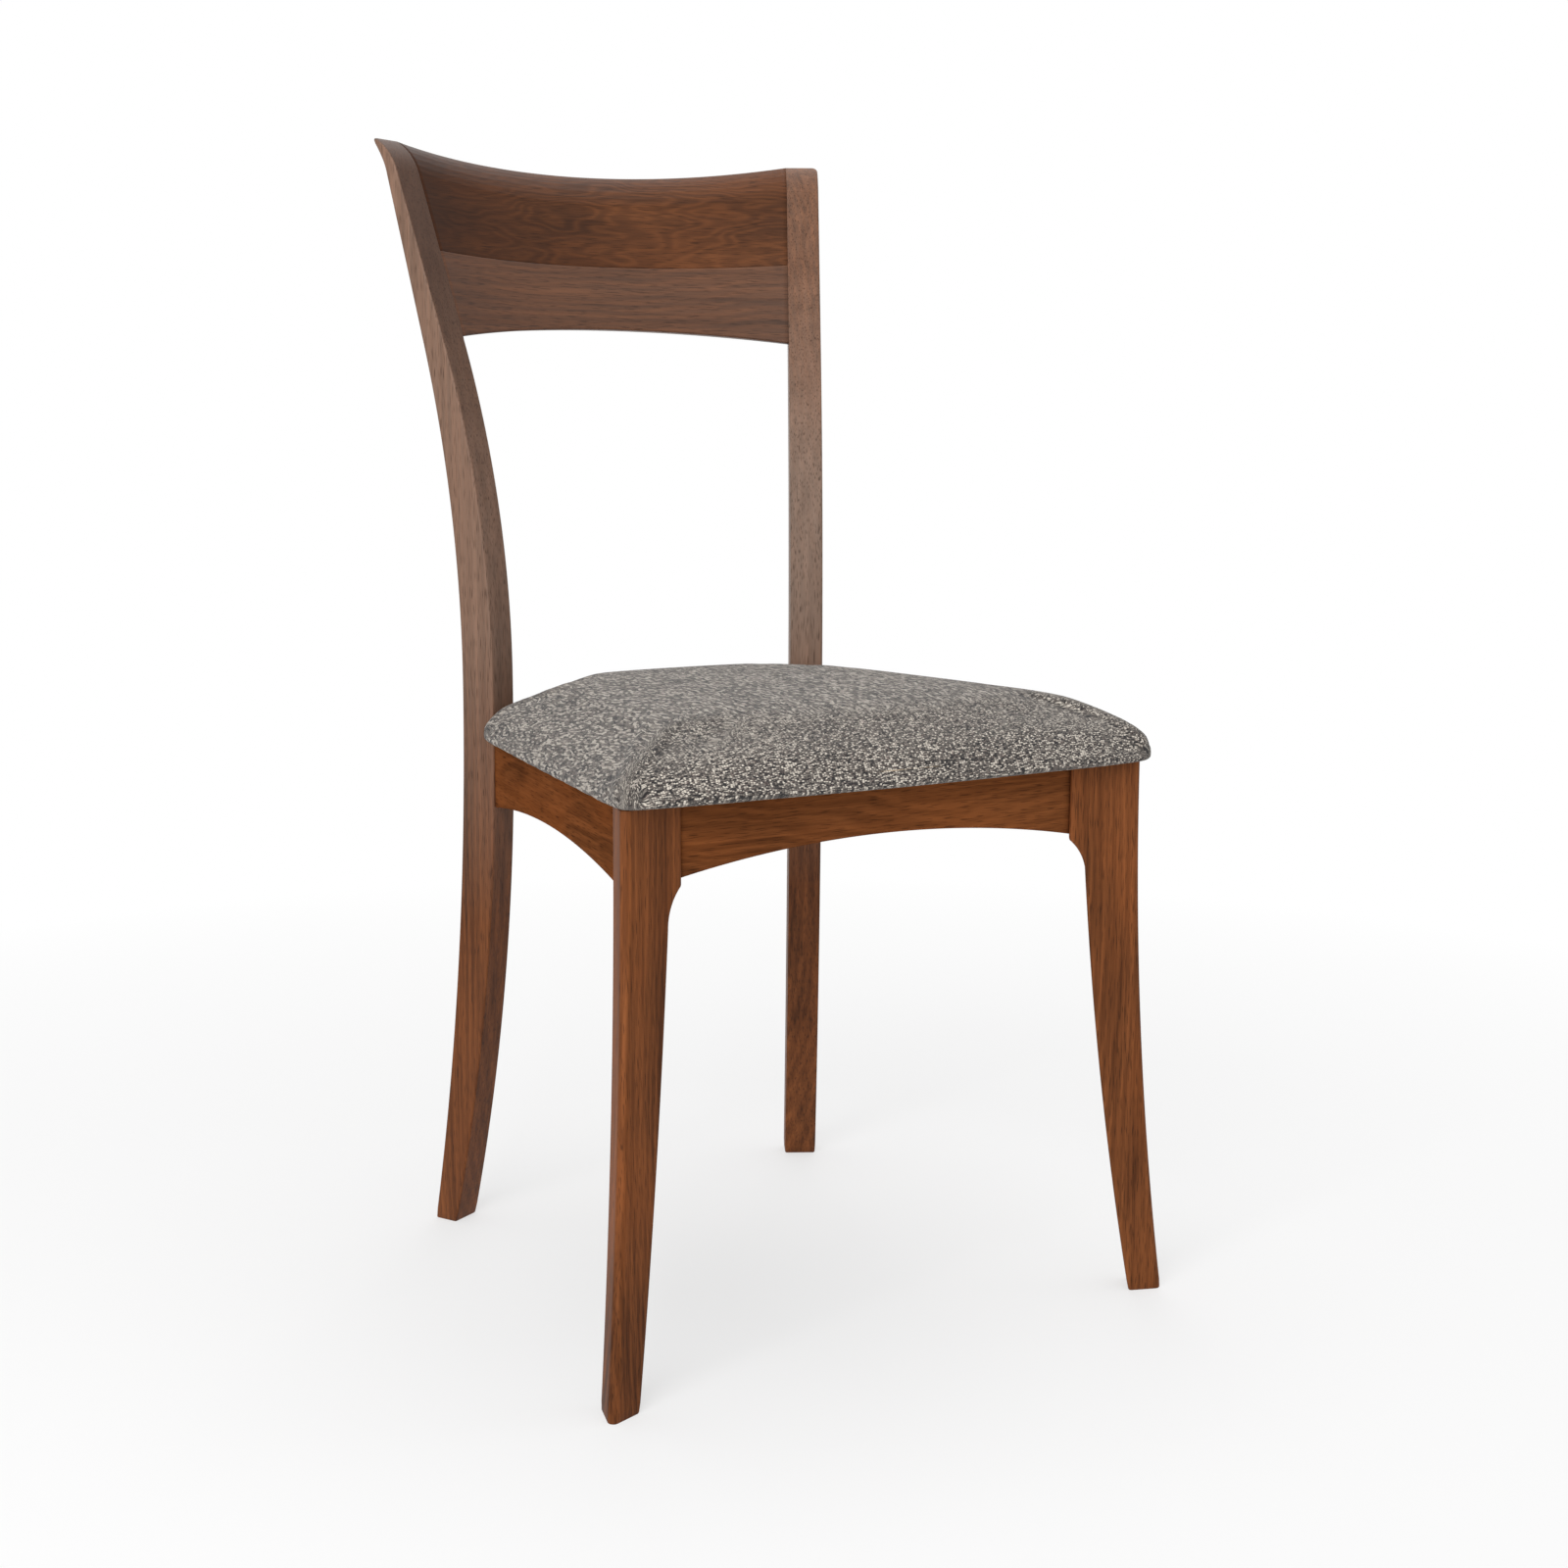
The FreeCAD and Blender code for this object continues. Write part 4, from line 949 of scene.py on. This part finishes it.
def apply_modifier(piece, modifier):
    """Bake one modifier into the mesh."""
    bpy.context.view_layer.update()
    shaped = piece.evaluated_get(bpy.context.evaluated_depsgraph_get())
    mesh = bpy.data.meshes.new_from_object(shaped)
    piece.modifiers.remove(modifier)
    old = piece.data
    piece.data = mesh
    bpy.data.meshes.remove(old)


class CHAIR_OT_rear_posts(bpy.types.Operator):
    """Make the two rear posts"""

    bl_idname = "chair.rear_posts"
    bl_label = "Rear posts"

    def execute(self, context):
        shape = post_rings(context.scene.chair_sizes.edge_ease / MM)
        # Painted sheen greys both posts above the seat; painted shade darkens the left post's front
        walnut_piece("walnut_post_right", "rear_post_right", shape, shift=(0.3, 0.1, 0.2), figure=0.12,
                     warmth=0.0, tone=0.97, gloss=0.12, grey=0.8, top_warmth=0.6)
        walnut_piece("walnut_post_left", "rear_post_left", shape, True, shift=(1.7, 0.6, 0.9), figure=0.12,
                     warmth=0.0, tone=0.91, gloss=0.12, grey=0.62, front_shade=0.7)
        return {"FINISHED"}


class CHAIR_OT_crest(bpy.types.Operator):
    """Make the two boards of the crest"""

    bl_idname = "chair.crest"
    bl_label = "Crest boards"

    def execute(self, context):
        # Painted shade darkens both boards towards their left ends
        walnut_piece("walnut_crest_lower", "crest_lower_board", crest_rings(lower_board),
                     shift=(0.4, 2.2, 0.7), figure=0.22, warmth=-0.25, tone=0.72,
                     gloss=0.2, fade=0.20, shade=0.4)
        walnut_piece("walnut_crest_upper", "crest_upper_board", crest_rings(upper_board),
                     shift=(2.9, 1.3, 0.2), figure=1.0, warmth=-0.30, tone=0.62, lines=60.0,
                     gloss=0.08, fade=0.08, shade=0.8)
        return {"FINISHED"}


class CHAIR_OT_front_legs(bpy.types.Operator):
    """Make the two front legs"""

    bl_idname = "chair.front_legs"
    bl_label = "Front legs"

    def execute(self, context):
        sizes = context.scene.chair_sizes
        shape = leg_rings(sizes.edge_ease / MM, sizes.leg_round / MM)
        for side, mirror, shift in (("right", False, (0.9, 1.1, 0.4)), ("left", True, (2.3, 0.2, 1.6))):
            walnut_piece("walnut_leg_" + side, "front_leg_" + side, shape, mirror,
                         shift=shift, figure=0.12, warmth=0.15, tone=1.08)
        return {"FINISHED"}


class CHAIR_OT_aprons(bpy.types.Operator):
    """Make the four arched aprons"""

    bl_idname = "chair.aprons"
    bl_label = "Aprons"

    def execute(self, context):
        ease = context.scene.chair_sizes.edge_ease / MM
        front = cross_apron(FRONT_APRON_Y, front_joint, FRONT_RISE, ease)
        rear = cross_apron(REAR_APRON_Y, rear_joint, SIDE_RISE, ease)
        side = side_apron(ease)
        boards = (
            ("front_apron", front, False, (0.2, 0.9, 1.9), 0.0, 0.95),
            ("rear_apron", rear, False, (1.2, 2.9, 0.9), 0.12, 0.95),
            ("side_apron_right", side, False, (2.2, 1.9, 2.9), 0.3, 0.85),
            ("side_apron_left", side, True, (3.2, 0.4, 1.1), 0.3, 0.85),
        )
        for node, shape, mirror, shift, warmth, tone in boards:
            walnut_piece("walnut_" + node, node, shape, mirror, shift=shift, figure=0.35,
                         warmth=warmth, tone=tone, lines=90.0, gloss=0.0)
        return {"FINISHED"}


class CHAIR_OT_seat(bpy.types.Operator):
    """Make the stuffed tweed seat and the cloth under it"""

    bl_idname = "chair.seat"
    bl_label = "Seat"

    def execute(self, context):
        sizes = context.scene.chair_sizes
        pad = solid_from_rings("tweed_seat_pad", pad_rings(sizes.pad_overhang / MM, sizes.pad_crown / MM))
        swell(pad)
        finer = pad.modifiers.new("finer", "SUBSURF")
        finer.levels = 1
        finer.render_levels = 1
        lay_weave(pad)
        finish_piece(pad, ["seat_cover", "seat_foam"], tweed())
        rings, size, area = dust_rings()
        dust = solid_from_rings("dust_cloth_sheet", rings)
        finish_piece(dust, ["dust_cover"], dust_cloth())
        size[0] * MM
        size[1] * MM
        area * MM * MM
        return {"FINISHED"}


class CHAIR_OT_hidden_pieces(bpy.types.Operator):
    """Finish the pieces inside and under the seat"""

    bl_idname = "chair.hidden_pieces"
    bl_label = "Hidden pieces"

    def execute(self, context):
        block_wood = plain_wood("block_hardwood", (0.50, 0.34, 0.19), (0.34, 0.21, 0.11),
                                (14.0, 120.0, 160.0))
        ply_wood = plain_wood("seat_plywood", (0.62, 0.46, 0.28), (0.46, 0.31, 0.17),
                              (10.0, 90.0, 1500.0))
        tenon_wood = plain_wood("tenon_hardwood", (0.58, 0.42, 0.25), (0.44, 0.29, 0.16),
                                (30.0, 400.0, 400.0))
        finishes = {"seat_board": ply_wood, "apron_tenons": tenon_wood, "crest_tenons": tenon_wood,
                    "seat_screws": screw_steel()}
        for end in ("front", "rear"):
            for side in ("left", "right"):
                finishes["corner_block_%s_%s" % (end, side)] = block_wood
        for node, material in finishes.items():
            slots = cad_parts[node].data.materials
            slots.clear()
            slots.append(material)
        return {"FINISHED"}


class CHAIR_OT_stage(bpy.types.Operator):
    """Make the floor, the lights and the camera"""

    bl_idname = "chair.stage"
    bl_label = "Stage"

    def execute(self, context):
        make_floor()
        make_world()
        soft_light("window_left", (-2.5, -1.9, 1.6), (0.0, 0.0, 0.55), 2.2, 84.0)
        soft_light("overhead", (0.4, 0.1, 2.7), (0.0, 0.0, 0.4), 2.6, 34.0)
        soft_light("front_fill", (-0.4, -3.2, 1.0), (0.0, 0.0, 0.4), 2.4, 8.0)
        soft_light("rear_fill", (1.8, 2.8, 1.7), (0.0, 0.0, 0.5), 2.0, 16.0)
        make_camera()
        return {"FINISHED"}


def make_floor():
    """Wide pale floor that stays near white to the camera and keeps the soft shadow."""
    mesh = bpy.data.meshes.new("studio_floor")
    corners = [(-1, -1), (1, -1), (1, 1), (-1, 1)]
    mesh.from_pydata([(FLOOR_REACH * x, FLOOR_REACH * y, 0) for x, y in corners], [], [(0, 1, 2, 3)])
    floor = bpy.data.objects.new("studio_floor", mesh)
    bpy.context.scene.collection.objects.link(floor)
    finish = Finish("studio_floor_white")
    finish.feed(Base_Color=(0.86, 0.86, 0.86, 1.0), Roughness=0.9, Specular_IOR_Level=0.1)
    away = finish.node("ShaderNodeVectorMath", {"operation": "LENGTH"}, [finish.spot()], "Value")
    lift = finish.ramp(away, 0.45, 1.5) * 0.42 + 0.58
    surface = Socket(finish, finish.shader.outputs[0])
    glow = finish.node("ShaderNodeEmission", {}, {"Color": WHITE})
    blend = finish.node("ShaderNodeMixShader", {}, [seen_rays(finish) * lift, surface, glow])
    finish.put(finish.tree.nodes["Material Output"].inputs["Surface"], blend)
    mesh.materials.append(finish.material)


def seen_rays(finish):
    """1 on the rays that show the background: straight, by a reflection or through glass."""
    ray = finish.node("ShaderNodeLightPath", {}, [], "Is Camera Ray")
    seen = ray.math("MAXIMUM", ray.also("Is Glossy Ray"))
    return seen.math("MAXIMUM", ray.also("Is Transmission Ray"))


class WorldFinish(Finish):
    """The world's nodes, with the same methods as a material's."""

    def __init__(self, name):
        self.world = bpy.data.worlds.new(name)
        self.world.use_nodes = True
        self.tree = self.world.node_tree
        self.shader = self.tree.nodes["Background"]


def make_world():
    """Even grey light all round, white where the background is seen."""
    finish = WorldFinish("studio_world")
    bpy.context.scene.world = finish.world
    finish.feed(Color=WHITE, Strength=seen_rays(finish) * 0.64 + 0.36)


def soft_light(name, place, aim, size, power):
    """Large square light that faces a point."""
    light = bpy.data.lights.new(name, "AREA")
    light.shape = "SQUARE"
    light.size = size
    light.energy = power
    item = bpy.data.objects.new(name, light)
    item.location = place
    toward = np.array(aim) - np.array(place)
    flat = math.hypot(toward[0], toward[1])
    turn = math.atan2(toward[1], toward[0]) - math.pi / 2
    item.rotation_euler = (math.atan2(flat, -toward[2]), 0.0, turn)
    bpy.context.scene.collection.objects.link(item)


def make_camera():
    """Camera at the height, turn and distance found from the photograph."""
    lens = bpy.data.cameras.new("photo_camera")
    lens.sensor_fit = "HORIZONTAL"
    lens.sensor_width = SENSOR_WIDTH
    lens.lens = PHOTO_FOCUS * SENSOR_WIDTH / PHOTO_WIDTH
    lens.shift_x = PHOTO_SHIFT / PHOTO_WIDTH
    item = bpy.data.objects.new("photo_camera", lens)
    item.location = CAMERA_PLACE
    item.rotation_euler = (math.radians(90.0 - CAMERA_DROP), 0.0, math.radians(CAMERA_TURN))
    bpy.context.scene.collection.objects.link(item)
    bpy.context.scene.camera = item


class CHAIR_PT_panel(bpy.types.Panel):
    """Lists the sizes, colours and pieces of the chair"""

    bl_idname = "CHAIR_PT_panel"
    bl_label = "Walnut side chair"
    bl_space_type = "VIEW_3D"
    bl_region_type = "UI"
    bl_category = "Chair"

    def draw(self, context):
        for group in (context.scene.chair_sizes, context.scene.chair_colours):
            for key in group.__annotations__:
                self.layout.prop(group, key)
        for operator in OPERATORS:
            self.layout.operator(operator.bl_idname)


OPERATORS = (CHAIR_OT_rear_posts, CHAIR_OT_crest, CHAIR_OT_front_legs, CHAIR_OT_aprons, CHAIR_OT_seat,
             CHAIR_OT_hidden_pieces, CHAIR_OT_stage)
CLASSES = (ChairSizes, ChairColours, *OPERATORS, CHAIR_PT_panel)


def register():
    """Add the classes and the scene's two property groups."""
    for item in CLASSES:
        bpy.utils.register_class(item)
    bpy.types.Scene.chair_sizes = bpy.props.PointerProperty(type=ChairSizes)
    bpy.types.Scene.chair_colours = bpy.props.PointerProperty(type=ChairColours)


def unregister():
    """Take out what register adds."""
    del bpy.types.Scene.chair_colours
    del bpy.types.Scene.chair_sizes
    for item in reversed(CLASSES):
        bpy.utils.unregister_class(item)


def main():
    """Make the stage and every piece."""
    register()
    bpy.context.scene.view_settings.view_transform = "Standard"
    for step in (bpy.ops.chair.stage, bpy.ops.chair.rear_posts, bpy.ops.chair.crest,
                 bpy.ops.chair.front_legs, bpy.ops.chair.aprons, bpy.ops.chair.seat,
                 bpy.ops.chair.hidden_pieces):
        step()


if __name__ == "__main__":
    main()
